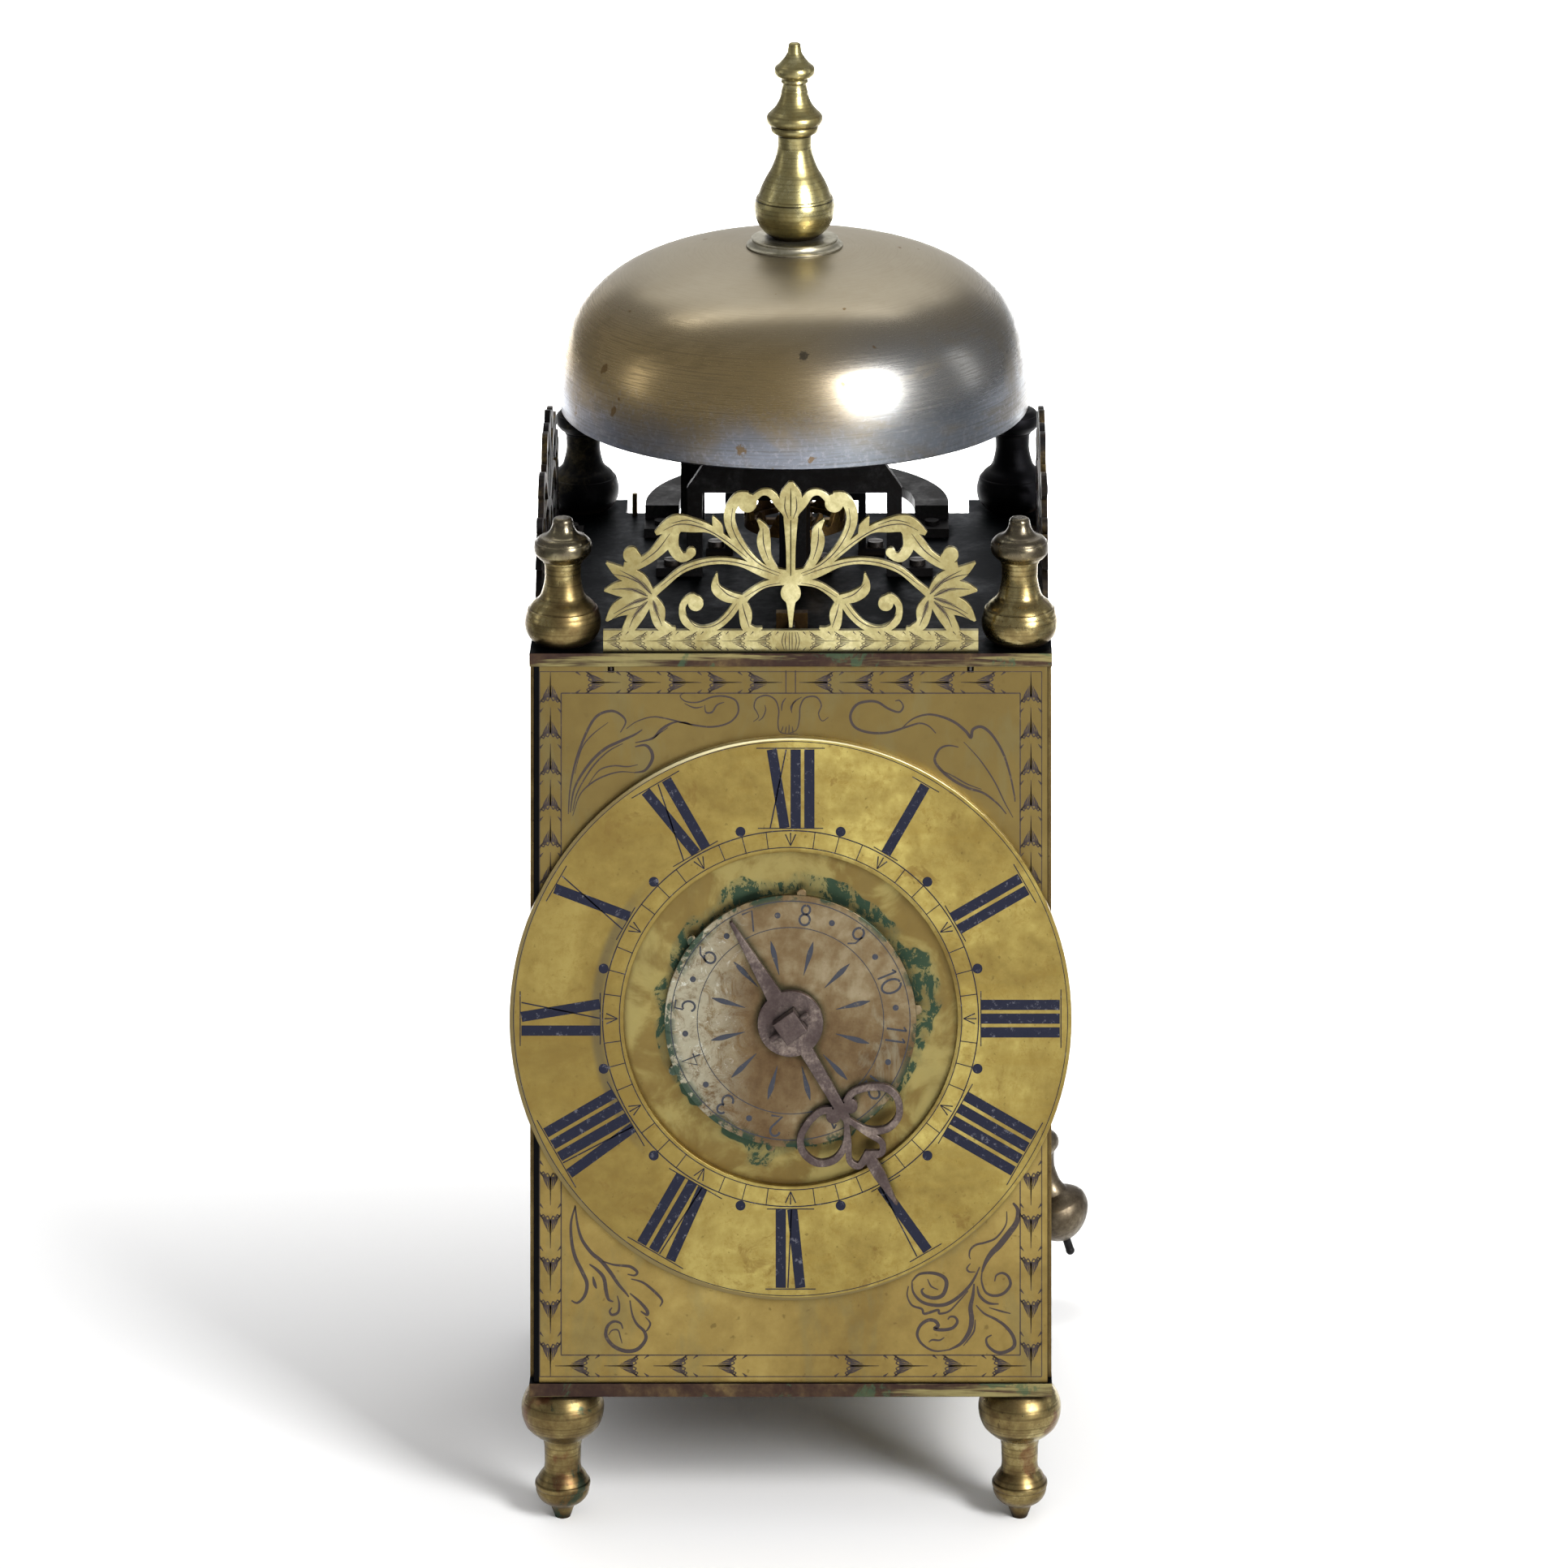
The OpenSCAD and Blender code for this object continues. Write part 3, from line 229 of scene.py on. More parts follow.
# The lamps: the one at the front right is the key and casts the shadow. One hangs overhead, and a long
# one above the camera lifts the shadow. The others only show in the metal: a narrow one at each side, a
# wide one behind, and a tall scrim round the key lamp that softens its mirrored edge.
lamp("key_lamp", 39.6, 26.5, 1.8, 0.5, 0.8, 33.0)
lamp("overhead_lamp", 188, 66, 1.6, 1.6, 0.25, 2.6)
lamp("left_lamp", -84, 18, 1.7, 0.3, 0.8, 1.3).visible_diffuse = False
lamp("right_rim_lamp", 98, 18, 1.7, 0.3, 0.8, 1.3).visible_diffuse = False
lamp("rear_lamp", 180, 42, 2.6, 2.4, 0.9, 1.0).visible_diffuse = False
lamp("fill_lamp", 4, 37, 1.8, 1.5, 0.2, 3.0).visible_glossy = False
lamp("scrim", 38, 21, 1.9, 0.8, 1.2, 4.5).visible_diffuse = False

# One more lamp hangs over the far part of the sheet and shines straight down, so that the paper
# behind the clock comes out white.
sheet_lamp = area_lamp("sheet_lamp", (0, 1.62, 1.2), 5.0, 2.4, 160)
sheet_lamp.data.spread = math.radians(50)
sheet_lamp.visible_glossy = False

# The camera stands in front, 0.78 m up, with its film plane upright, as a view camera has it, so that
# upright edges stay parallel in the photograph. Its direction column leans down while the picture's
# right and up columns stay level and upright. The mount holds that, so that the lens has no shift.
picture_side = 1932
camera_at = Vector((0.0277, -1.8463, 0.7774))
vanishing_point = (1110, -1925)
depth_px = 8725
toward_camera = Vector((vanishing_point[0] - picture_side / 2, -depth_px,
                        picture_side / 2 - vanishing_point[1]))
lean = Matrix((
    (1, 0, toward_camera.normalized().x, camera_at.x),
    (0, 0, toward_camera.normalized().y, camera_at.y),
    (0, 1, toward_camera.normalized().z, camera_at.z),
    (0, 0, 0, 1)))
mount = new_object("camera_mount", None)
lens = bpy.data.cameras.new("camera")
lens.sensor_width = 36
lens.lens = toward_camera.length * lens.sensor_width / picture_side
lens.clip_end = 30
camera = new_object("camera", lens)
camera.parent = mount
camera.matrix_parent_inverse = lean
scene.camera = camera


# The two plates that hold the case together, the doors and the back plate: cast and hammered brass,
# brown with age, rubbed bright along the edges of the plates, with a painted highlight there towards the
# right, and green in places.
def new_group(name, inputs, outputs):
    """An empty shader group. inputs and outputs map a name to a socket type and a starting value."""
    group = bpy.data.node_groups.new(name, "ShaderNodeTree")
    for direction, sockets in (("INPUT", inputs), ("OUTPUT", outputs)):
        for label, (kind, value) in sockets.items():
            made = group.interface.new_socket(label, in_out=direction, socket_type="NodeSocket" + kind)
            if value is not None:
                made.default_value = value
    return group, Outputs(group.nodes.new("NodeGroupInput")), group.nodes.new("NodeGroupOutput")


def noise(place, scale, detail=4.0, roughness=0.55, distortion=0.0):
    return put(place.tree, "TexNoise", {"Vector": place, "Scale": scale, "Detail": detail,
                                        "Roughness": roughness, "Distortion": distortion})[0]


def noise_along(value, detail, roughness=0.5):
    """Noise that changes along one line only, as turning marks do."""
    return put(value.tree, "TexNoise", {"W": value, "Scale": 1.0, "Detail": detail, "Roughness": roughness},
               noise_dimensions="1D")[0]


def streaks(place, scale, detail, roughness, distortion=0.0, turn=(0, 0, 0)):
    """Noise drawn out along the axes where scale is small."""
    drawn = put(place.tree, "Mapping", {"Vector": place, "Scale": scale, "Rotation": turn})[0]
    return noise(drawn, 1.0, detail, roughness, distortion)


# patina: clouds of tarnish over bare metal, with freckles, and a fine relief
patina, given, out = new_group(
    "patina",
    {"Place": ("Vector", None), "Metal": ("Color", None), "Rubbed": ("Color", None),
     "Tarnish": ("Color", None), "Cloud Scale": ("Float", 40.0), "Cover": ("Float", 0.5),
     "Freckles": ("Float", 0.3)},
    {"Color": ("Color", None), "Roughness": ("Float", 0.4), "Height": ("Float", 0.0)})
clouds = noise(given["Place"], given["Cloud Scale"], 5.0, 0.6, 0.6)
fine = noise(given["Place"], given["Cloud Scale"] * 9.0, 6.0, 0.65)
both = clouds * 0.7 + fine * 0.3
edge = 0.8 - given["Cover"] * 0.6
dark = step(both, edge - 0.16, edge + 0.16)
light = step(1.0 - both, 0.5, 0.72)
body = mixed(dark, mixed(light, given["Metal"], given["Rubbed"]), given["Tarnish"])
speck = noise(given["Place"], given["Cloud Scale"] * 22.0, 2.0)
speck = step(speck, 0.66, 0.74) * given["Freckles"]
feed(out, {"Color": mixed(speck, body, (0.03, 0.018, 0.012, 1)), "Roughness": 0.3 + dark * 0.25,
           "Height": fine * 0.4 - speck})

# crevice: 1 where a surface is shut in by its neighbours, as at the root of a bead or beside a ring
crevice, given, out = new_group("crevice", {"Reach": ("Float", 0.003), "Strength": ("Float", 1.0)},
                                {"Mask": ("Float", 0.0)})
open_sky = put(crevice, "AmbientOcclusion", {"Distance": given["Reach"]}, samples=6)["AO"]
feed(out, {"Mask": step(1.0 - open_sky, 0.08, 0.62) * given["Strength"]})

# wiped: the height of fine straight scratches, mostly along one direction
wiped, given, out = new_group("wiped", {"Place": ("Vector", None)}, {"Height": ("Float", 0.0)})
first = streaks(given["Place"], (60, 900, 900), 3.0, 0.7, turn=(0.05, 0.08, 0.03))
second = streaks(given["Place"], (900, 900, 60), 3.0, 0.7, turn=(0.1, -0.06, 0.1))
feed(out, {"Height": first * 0.6 + second * 0.4})


def old_metal(name, metal, rubbed, tarnish, clouds=40.0, cover=0.45, freckles=0.3,
              dirt=(0.02, 0.014, 0.009, 1), reach=2.5 * mm, dirt_strength=0.8, gloss=0.0, metallic=1.0,
              scratches=1.0, edge=0.25 * mm, tint=grey(1), over=None):
    """Metal with patina, dirt in its crevices, wiping scratches and softly broken edges. Its first three
    colours are as on a screen. over may change the colour last, from the place and the colour so far."""
    made, shader, place = new_material(name)
    tree = place.tree
    skin = put(tree, "Group", {"Place": place, "Metal": colour(*metal), "Rubbed": colour(*rubbed),
                               "Tarnish": colour(*tarnish), "Cloud Scale": clouds, "Cover": cover,
                               "Freckles": freckles}, node_tree=patina)
    mask = put(tree, "Group", {"Reach": reach, "Strength": dirt_strength}, node_tree=crevice)[0]
    lines = put(tree, "Group", {"Place": place}, node_tree=wiped)[0]
    body = mixed(mask, skin["Color"], dirt)
    if over:
        body = over(place, body)
    rounded = put(tree, "Bevel", {"Radius": edge}, samples=4)[0]
    height = lines * scratches + skin["Height"]
    feed(shader, {"Base Color": body, "Metallic": metallic, "Specular Tint": tint,
                  "Roughness": skin["Roughness"] + mask * 0.3 - gloss,
                  "Normal": bump(height, 0.25, 0.06 * mm, Normal=rounded)})
    return made


def dress(material, *names):
    for name in names:
        piece = nodes[name]
        piece.data.materials.clear()
        piece.data.materials.append(material)
        piece.data.polygons.foreach_set("material_index", [0] * len(piece.data.polygons))


verdigris = colour(38, 62, 52)
umber = colour(64, 44, 30)


def green_here(amount, scale):
    """Makes an over step that lays verdigris in patches."""
    def over(place, body):
        patch = step(noise(place, scale, 6.0, 0.7, 0.4), 0.62 - amount, 0.66 - amount)
        return mixed(patch * 0.75, body, verdigris)
    return over


def black_on_top(place, body):
    """Dust and oil have turned what faces up nearly black. The edge keeps brass where it is rubbed, and
    towards the right it is brighter still, a painted highlight.
    """
    way = xyz(put(place.tree, "NewGeometry")["True Normal"])[2]
    long = streaks(place, (14, 14, 240), 5.0, 0.65, 0.2)
    parts = xyz(place)
    # Towards the right the rubbed brass is a painted highlight, for the key lamp's glint along the edge.
    right = step(parts[0], -20 * mm, 60 * mm)
    rubbed = step(long + right * 0.1, 0.54, 0.64)
    body = stained(body, rubbed * 0.7, 160, 150, 100)
    stain = step(noise(place, 60.0, 5.0, 0.7, 0.4), 0.56, 0.6)
    body = stained(body, stain * 0.6, 66, 92, 70)
    return stained(body, step(way, 0.5, 0.8), 6, 8, 9)


case_brass = old_metal("case_brass", (92, 74, 56), (118, 100, 66), (60, 46, 42), clouds=55.0, cover=0.6,
                       freckles=0.5, tint=(0.75, 0.76, 0.78, 1), over=black_on_top)
dress(case_brass, "top_plate", "bottom_plate")
sheet_brass = old_metal("sheet_brass", (126, 107, 66), (136, 117, 73), (110, 91, 58), clouds=60.0,
                        cover=0.5, freckles=0.5)
dress(sheet_brass, "left_door", "right_door", "back_plate")

# Four square iron posts, forged, with their round ends hidden in the feet and the finials.
forged_iron = old_metal("forged_iron", (40, 40, 42), (66, 64, 64), (24, 22, 22), clouds=90.0, cover=0.6,
                        freckles=0.4, dirt=(0.006, 0.005, 0.005, 1), metallic=0.8, scratches=0.5,
                        tint=grey(0.75))
dress(forged_iron, "post_front_left", "post_front_right", "post_rear_left", "post_rear_right")

# Feet and corner finials, turned in brass. Those in front are rubbed bright on the bulges, with
# black left in the grooves and red and green stains. Those behind are nearly black: dull patina, and painted
# shade.
cap_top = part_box("finial_front_left")[1].z


def lathe_marks(place, body):
    """Fine dark rings left by the lathe and the rag, green and red stains, and dull caps."""
    up = xyz(place)[2]
    rings = noise_along(up * 1500.0, 2.0)
    body = stained(body, step(rings, 0.5, 0.7) * 0.5, 70, 58, 38)
    red = step(noise(place, 70.0, 4.0, 0.6), 0.6, 0.66)
    body = stained(body, red * 0.55, 96, 52, 40)
    body = green_here(0.03, 45.0)(place, body)
    cap = step(up, cap_top - 11 * mm, cap_top - 7 * mm)
    return stained(body, cap * 0.75, 84, 80, 74)


turned_brass = old_metal("turned_brass", (156, 140, 92), (216, 204, 152), (88, 70, 44), clouds=44.0,
                         cover=0.5, freckles=0.5, reach=2.6 * mm, dirt_strength=1.0, gloss=0.11,
                         scratches=0.5, over=lathe_marks)
dress(turned_brass, "foot_front_left", "foot_front_right", "finial_front_left", "finial_front_right")
patina_and_shade_brass = old_metal("patina_and_shade_brass", (44, 42, 36), (84, 76, 54), (22, 22, 24), clouds=60.0, cover=0.75)
dress(patina_and_shade_brass, "foot_rear_left", "foot_rear_right", "finial_rear_left", "finial_rear_right")

# The front plate: rolled brass, scraped flat and engraved, then dulled to a brown gold. Round the
# alarm disc it is cloudier, with verdigris where the disc rubs.
disc_low, disc_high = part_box("alarm_disc")
dial_at = (disc_low + disc_high) / 2
ring_low, ring_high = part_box("chapter_ring")
plate_low, plate_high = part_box("front_plate")
edge_x = plate_high.x / mm


def from_dial(place):
    """How far a point is from the dial's middle, seen from the front, and its x and z from there."""
    parts = xyz(place)
    x = parts[0] - dial_at.x
    z = parts[2] - dial_at.z
    return hypotenuse(x, z), x, z


def round_the_disc(place, body):
    far, x, z = from_dial(place)
    inside = 1.0 - step(far, 41 * mm, 43 * mm)
    # Towards its top the plate is painted darker: a painted shade, for the dimmer room that its upper part
    # mirrors.
    above = step(z, -70 * mm, 60 * mm) * (1.0 - inside)
    body = stained(body, above * 0.85, 110, 94, 56)
    soot = step(streaks(place, (90, 90, 30), 5.0, 0.6, 0.3), 0.5, 0.62)
    body = stained(body, soot * 0.3, 116, 110, 78)
    warm = mixed(step(noise(place, 70.0, 5.0, 0.6, 0.5), 0.42, 0.6), colour(112, 94, 54),
                 colour(150, 138, 86))
    body = mixed(inside * 0.75, body, warm)
    ragged = streaks(place, (170, 170, 120), 9.0, 0.74, 0.5)
    wide = noise(place, 45.0, 3.0)
    reach = 30.5 * mm + (wide - 0.4) * (26 * mm)
    near = 1.0 - step(far, reach, reach + 2.5 * mm)
    wash = near * step(ragged, 0.3, 0.5)
    body = stained(body, wash * 0.5, 92, 98, 72)
    crust = step(near, 0.3, 0.5) * step(ragged, 0.475, 0.51)
    body = mixed(crust * 0.9, body, verdigris)
    side = step(abs(x), edge_x * mm - 0.9 * mm, edge_x * mm - 0.6 * mm)
    return stained(body, side, 16, 16, 18)


front_brass = old_metal("front_brass", (150, 129, 74), (172, 152, 90), (122, 102, 58), clouds=20.0,
                        cover=0.42, freckles=0.35, dirt=colour(48, 34, 22), reach=4 * mm,
                        dirt_strength=0.7, over=round_the_disc)
dress(front_brass, "front_plate")


# Engraving on the front plate: a band of overlapping leaves between two lines, foliate scrolls in the
# corners, and a tulip at the top. Each cut is a tapering sliver filled with dark wax.
def flow(rows, steps=6):
    """A smooth run through rows of the same length, such as x, z and half width."""
    made = []
    last = len(rows) - 1
    for i in range(last):
        a, b, c, d = (Vector(rows[max(0, min(last, k))]) for k in (i - 1, i, i + 1, i + 2))
        for k in range(steps):
            t = k / steps
            made.append(0.5 * (2 * b + (c - a) * t + (2 * a - 5 * b + 4 * c - d) * t * t
                               + (3 * b - a - 3 * c + d) * t ** 3))
    made.append(Vector(rows[last]))
    return made


# How far the wax in a cut stands out of the face, and how deep it goes.
cut_proud = 0.03 * mm
cut_deep = 0.05 * mm


class Cuts:
    """Collects cuts in a face that looks forward, each a thin closed sliver. x and z are in
    millimetres."""

    def __init__(self, face):
        self.mesh = bmesh.new()
        self.front, self.back = face - cut_proud, face + cut_deep

    def sliver(self, rows):
        """A cut along straight stretches between rows of x, z and half width."""
        rings = []
        for i, (x, z, half) in enumerate(rows):
            before, after = rows[max(i - 1, 0)], rows[min(i + 1, len(rows) - 1)]
            along = Vector((after[0] - before[0], after[1] - before[1])).normalized()
            side = Vector((-along.y, along.x)) * max(half, 0.02)
            rings.append([self.mesh.verts.new(((x + s * side.x) * mm, y, (z + s * side.y) * mm))
                          for s, y in ((1, self.front), (-1, self.front), (-1, self.back), (1, self.back))])
        for a, b in zip(rings, rings[1:]):
            for k in range(4):
                self.mesh.faces.new((a[k], a[(k + 1) % 4], b[(k + 1) % 4], b[k]))
        self.mesh.faces.new(rings[0][::-1])
        self.mesh.faces.new(rings[-1])

    def curve(self, rows, steps=6):
        self.sliver([tuple(p) for p in flow(rows, steps)])

    def ring(self, x, z, radius, y, points):
        turns = (2 * math.pi * i / points for i in range(points))
        return [self.mesh.verts.new(((x + radius * math.sin(a)) * mm, y, (z + radius * math.cos(a)) * mm))
                for a in turns]

    def circle(self, x, z, radius, half, points):
        """A ring-shaped cut, closed on itself."""
        loops = [self.ring(x, z, radius + s * half, y, points)
                 for s, y in ((1, self.front), (-1, self.front), (-1, self.back), (1, self.back))]
        for k in range(4):
            for i in range(points):
                j = (i + 1) % points
                self.mesh.faces.new((loops[k][i], loops[k][j], loops[(k + 1) % 4][j], loops[(k + 1) % 4][i]))

    def spot(self, x, z, radius, points=24):
        """A round cut, such as the mark of a centre punch."""
        front, back = (self.ring(x, z, radius, y, points) for y in (self.front, self.back))
        self.mesh.faces.new(front)
        self.mesh.faces.new(back[::-1])
        for i in range(points):
            j = (i + 1) % points
            self.mesh.faces.new((front[j], front[i], back[i], back[j]))

    def finish(self, name, material, body):
        bmesh.ops.recalc_face_normals(self.mesh, faces=self.mesh.faces)
        data = bpy.data.meshes.new(name)
        self.mesh.to_mesh(data)
        self.mesh.free()
        data.materials.append(material)
        piece = new_object(name, data)
        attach(piece, body)


def wax_fill(name, deep, worn, roughness):
    """Old wax in a cut, paler where it has crumbled away."""
    made, shader, place = new_material(name)
    gone = step(noise(place, 620.0, 6.0, 0.75), 0.56, 0.68)
    feed(shader, {"Base Color": mixed(gone, colour(*deep), colour(*worn)), "Roughness": roughness,
                  "Specular IOR Level": 0.2})
    return made


cut_wax = wax_fill("cut_wax", (56, 48, 46), (88, 76, 58), 0.65)
plate_cuts = Cuts(plate_low.y)
floor_z, roof_z = plate_low.z / mm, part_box("top_plate")[0].z / mm
band_out, band_in = 1.5, 6.9


def leaf_tip(cuts, x, z, angle, half, reach, weight=1.0):
    """The scalloped end of one leaf, and the hatching that shades the next leaf above it."""
    turn = math.radians(angle)

    def at(across, up, width):
        return (x + across * math.cos(turn) + up * math.sin(turn),
                z - across * math.sin(turn) + up * math.cos(turn), width * weight)
    lobes = [(-1.0, -0.7), (-0.84, 0.1), (-0.66, -0.5), (-0.46, 0.35), (-0.24, -0.1), (0, 1.1),
             (0.24, -0.1), (0.46, 0.35), (0.66, -0.5), (0.84, 0.1), (1.0, -0.7)]
    for (a, b), (c, d) in zip(lobes, lobes[1:]):
        cuts.sliver([at(a * half, b, 0.16), at(c * half, d, 0.12)])
    for k in range(-4, 5):
        share = k / 4.5
        low = 1.1 - abs(share) * 1.5
        long = reach * (1.2 - 0.8 * abs(share)) * (0.8 + 0.2 * math.cos(k * 2.4))
        wide = 0.36 if abs(k) in (1, 3) else 0.26
        cuts.sliver([at(share * half, low, wide), at(share * half * 0.84, low + long * 0.5, wide * 0.5),
                     at(share * half * 0.5, low + long, 0.03)])
    cuts.sliver([at(0, 0.9, 0.22), at(0, reach * 1.6, 0.06)])
    for side in (-1, 1):
        cuts.sliver([at(side * half, -reach * 0.62, 0.3), at(side * half * 0.66, -reach * 0.4, 0.04)])


def leaf_band(cuts, start, end, pitch, half, reach, weight=1.0):
    """Leaves along a straight band, tips pointing from start to end."""
    run = Vector(end) - Vector(start)
    count = max(1, round(run.length / pitch))
    angle = math.degrees(math.atan2(run.x, run.y))
    for i in range(count):
        p = Vector(start) + run * ((i + 0.5) / count)
        leaf_tip(cuts, p.x, p.y, angle, half, reach, weight)


band_mid = (band_out + band_in) / 2
band_half = (band_in - band_out) / 2
left_x, right_x = -edge_x + band_mid, edge_x - band_mid
low_z, high_z, dial_z = floor_z + band_mid, roof_z - band_mid, dial_at.z / mm
for side in (left_x, right_x):
    leaf_band(plate_cuts, (side, dial_z + 2), (side, high_z), 9.5, band_half, 4.6)
    leaf_band(plate_cuts, (side, dial_z - 2), (side, low_z), 10.6, band_half, 5.0)
    s = 1 if side > 0 else -1
    leaf_band(plate_cuts, (side - s * 4.5, high_z), (s * 5, high_z), 11.2, band_half, 5.0)
    leaf_band(plate_cuts, (s * 8, low_z), (side - s * 3, low_z), 11.4, band_half, 5.0)
for inset, width in ((band_out, 0.1), (band_in, 0.14)):
    x, low, high = edge_x - inset, floor_z + inset, roof_z - inset
    corners = [(-x, low, width), (x, low, width), (x, high, width), (-x, high, width)]
    for a, b in zip(corners, corners[1:] + corners[:1]):
        plate_cuts.sliver([a, b])
for x in (-1.2, 1.2):
    plate_cuts.sliver([(x, roof_z - 1.2, 0.16), (x, roof_z - band_in, 0.12)])

# Scrolls, each a largest half width and a route in x and z from the dial's middle: two sprays at the
# top that differ, a tulip between them, a loose spray at the lower left and a full scroll at the right
top_left = [
    (0.26, [(-55.9, 50.8), (-55.4, 57.4), (-53.9, 64.5), (-51.2, 71.6), (-48.6, 75.5), (-45, 76.7),
            (-42.4, 75.5), (-41.5, 73.8), (-42.8, 71.3)]),
    (0.1, [(-54.3, 60.9), (-52.6, 67.1), (-49.9, 70.7), (-45.9, 73.8)]),
    (0.3, [(-55.4, 51.2), (-54.3, 57.4), (-50.8, 63.2), (-46.8, 67.1), (-42.8, 69.1), (-39.3, 70.7),
            (-37.3, 72)]),
    (0.14, [(-54.8, 51.6), (-53.5, 56.5), (-49.9, 62.5), (-45.9, 66.5), (-42.2, 68.5)]),
    (0.14, [(-54.8, 50.3), (-53, 55.6), (-49.9, 58.7), (-46.4, 60.5), (-42.8, 61.4), (-39.3, 61.2)]),
    (0.34, [(-39.3, 61.2), (-36.6, 61.8), (-34.8, 64.5), (-35.1, 66.7), (-36.6, 68.1), (-39.1, 67.7)]),
    (0.12, [(-50.8, 58.3), (-48.1, 61.8), (-44.6, 62.9), (-41, 62.7), (-38.4, 63.2)]),
    (0.16, [(-41.3, 72.2), (-38.8, 74), (-34.8, 75.2), (-30.9, 74.7), (-25.1, 73.3), (-19.8, 72.7),
            (-15.4, 73.8), (-13.2, 76.4), (-13.8, 79.3), (-16.7, 80.4), (-19.8, 80.2), (-23.3, 78.9),
            (-26.4, 79.1), (-27.8, 80.4), (-26.7, 81.3)]),
    (0.26, [(-39.1, 68.7), (-34.8, 69.8), (-32.6, 72), (-30, 73.6), (-28.2, 74)]),
    (0.1, [(-34.8, 69.6), (-33.1, 71), (-30.9, 72.5)]),
    (0.12, [(-26.7, 78.6), (-24.2, 77.5), (-22, 77.8)]),
    (0.16, [(-21.6, 78.2), (-21.3, 76.4), (-19.8, 76.4), (-18.5, 78.2), (-16.7, 78.9)]),
    (0.2, [(-28.2, 73.8), (-26.4, 73.7), (-24.7, 73.1)])]
tulip_left = [
    (0.13, [(-9.4, 74), (-8.1, 75.1), (-8.5, 76.4), (-9.2, 77.8), (-8.5, 79.8), (-6.1, 80.6), (-3.9, 79.5),
            (-3, 76.9), (-3.2, 73.8), (-2.8, 71.6), (-1.2, 71), (1.8, 70.9)]),
    (0.14, [(-2.3, 76.7), (-2.1, 78.6), (-1.2, 80)]),
    (0.1, [(-6.5, 78.2), (-6.3, 76.9), (-7, 75.1), (-8.1, 74.2)]),
    (0.12, [(0.3, 76.2), (0.1, 77.8), (1.4, 79.3)]),
    (0.08, [(-2.5, 71.3), (-2.1, 72.2), (-1.9, 72.9)]),
    (0.08, [(-1.4, 71.1), (-1.2, 72.1), (-1.1, 72.8)]),
    (0.08, [(-0.5, 71), (-0.4, 72.2), (-0.4, 73.3)]),
    (0.08, [(0.6, 71), (0.5, 72), (0.4, 72.8)])]
tulip_right = [
    (0.13, [(-0.3, 71.1), (1.5, 72), (2.2, 74.7), (2.4, 77.8), (3.7, 80), (6.4, 80.2), (7.7, 78.2),
            (7, 76), (7.9, 74.2), (9.5, 75.1)]),
    (0.12, [(0.2, 76.9), (0.8, 78.9), (2.8, 80.2)])]
top_right = [
    (0.26, [(36.5, 71.1), (34.7, 72.9), (32.5, 73.6), (29.8, 72.9), (24.5, 71.3), (19.6, 71.3),
            (16.1, 72.7), (15, 75.5), (16.5, 78.2), (19.2, 79.1), (21.9, 78.9), (24.5, 77.3), (27.2, 76.4),
            (28.3, 77.8), (27.4, 79.3), (26.3, 79.2)]),
    (0.3, [(28.1, 72.5), (30.7, 74.7), (34.3, 75.8), (37.8, 75.3), (41.3, 73.8), (44, 71.6), (45.3, 70),
            (45.8, 72), (48, 72.7), (50.6, 70.7), (53.3, 66.3), (55.1, 60.9), (56.2, 55.6), (56.4, 53.9)]),
    (0.12, [(43.5, 68.9), (47.5, 64.5), (51.1, 59.2), (53.7, 53.9), (55.9, 49.9)]),
    (0.28, [(42.2, 67.6), (39.6, 68), (37.4, 67.1), (36.2, 64.5), (37.4, 62.3), (40.4, 59.6), (44.4, 57.4),
            (48.4, 56.1), (52, 53.4), (54.2, 50.8)]),
    (0.12, [(37.8, 61.8), (40.9, 60.3), (44.4, 58.3), (48, 57)])]
left_spray = [
    (0.3, [(-54.2, -47.9), (-55.2, -51.8), (-55.1, -56.3), (-54.2, -60.5), (-52.4, -64.3), (-51.2, -67.3),
            (-51.8, -70.3), (-53.6, -72.1), (-55.1, -71.5)]),
    (0.3, [(-54.2, -47.6), (-53.6, -52.4), (-52.4, -56.3), (-50, -59.6), (-47.6, -61.6), (-45.2, -64.6),
            (-43.4, -67.3), (-41.6, -69.4), (-40.7, -70.6)]),
    (0.3, [(-50.6, -62.4), (-48.8, -63.7), (-47, -65.8), (-46.4, -69.1), (-45.8, -71.2), (-44.6, -71.8)]),
    (0.26, [(-49.7, -65.5), (-49.3, -67.3), (-48.8, -68.5)]),
    (0.2, [(-43.6, -70.3), (-43.1, -72.4), (-43.4, -74.5), (-44.9, -75.1), (-45.5, -74.2), (-44.9, -73.3)]),
    (0.22, [(-47.3, -61.6), (-44.6, -62.5), (-41.6, -62.8), (-40.1, -63.1), (-38.6, -64.3), (-39.2, -65.2),
            (-41, -64.9)]),
    (0.2, [(-40.1, -66.1), (-37.1, -67), (-34.1, -69.4), (-32.3, -71.5), (-32.9, -73)]),
    (0.26, [(-40.4, -69.7), (-38, -71.8), (-36.2, -73.9), (-36.1, -75.1), (-37.7, -74.2)]),
    (0.3, [(-40.4, -71.5), (-39.8, -75.1), (-38.6, -77.5), (-36.8, -79.3), (-36.5, -81.4), (-38.6, -83.8),
            (-41.6, -84.2), (-44.6, -82.9), (-46.4, -80.5), (-46.1, -78.1), (-44.6, -76.8), (-42.8, -77.2),
            (-42.2, -78.6)]),
    (0.1, [(-45.8, -80.2), (-44.9, -79), (-43.4, -79), (-42.8, -80.8), (-42.4, -82.3)]),
    (0.14, [(-36.5, -75.7), (-35.3, -77.2), (-35.9, -78.7), (-36.5, -79.3)])]
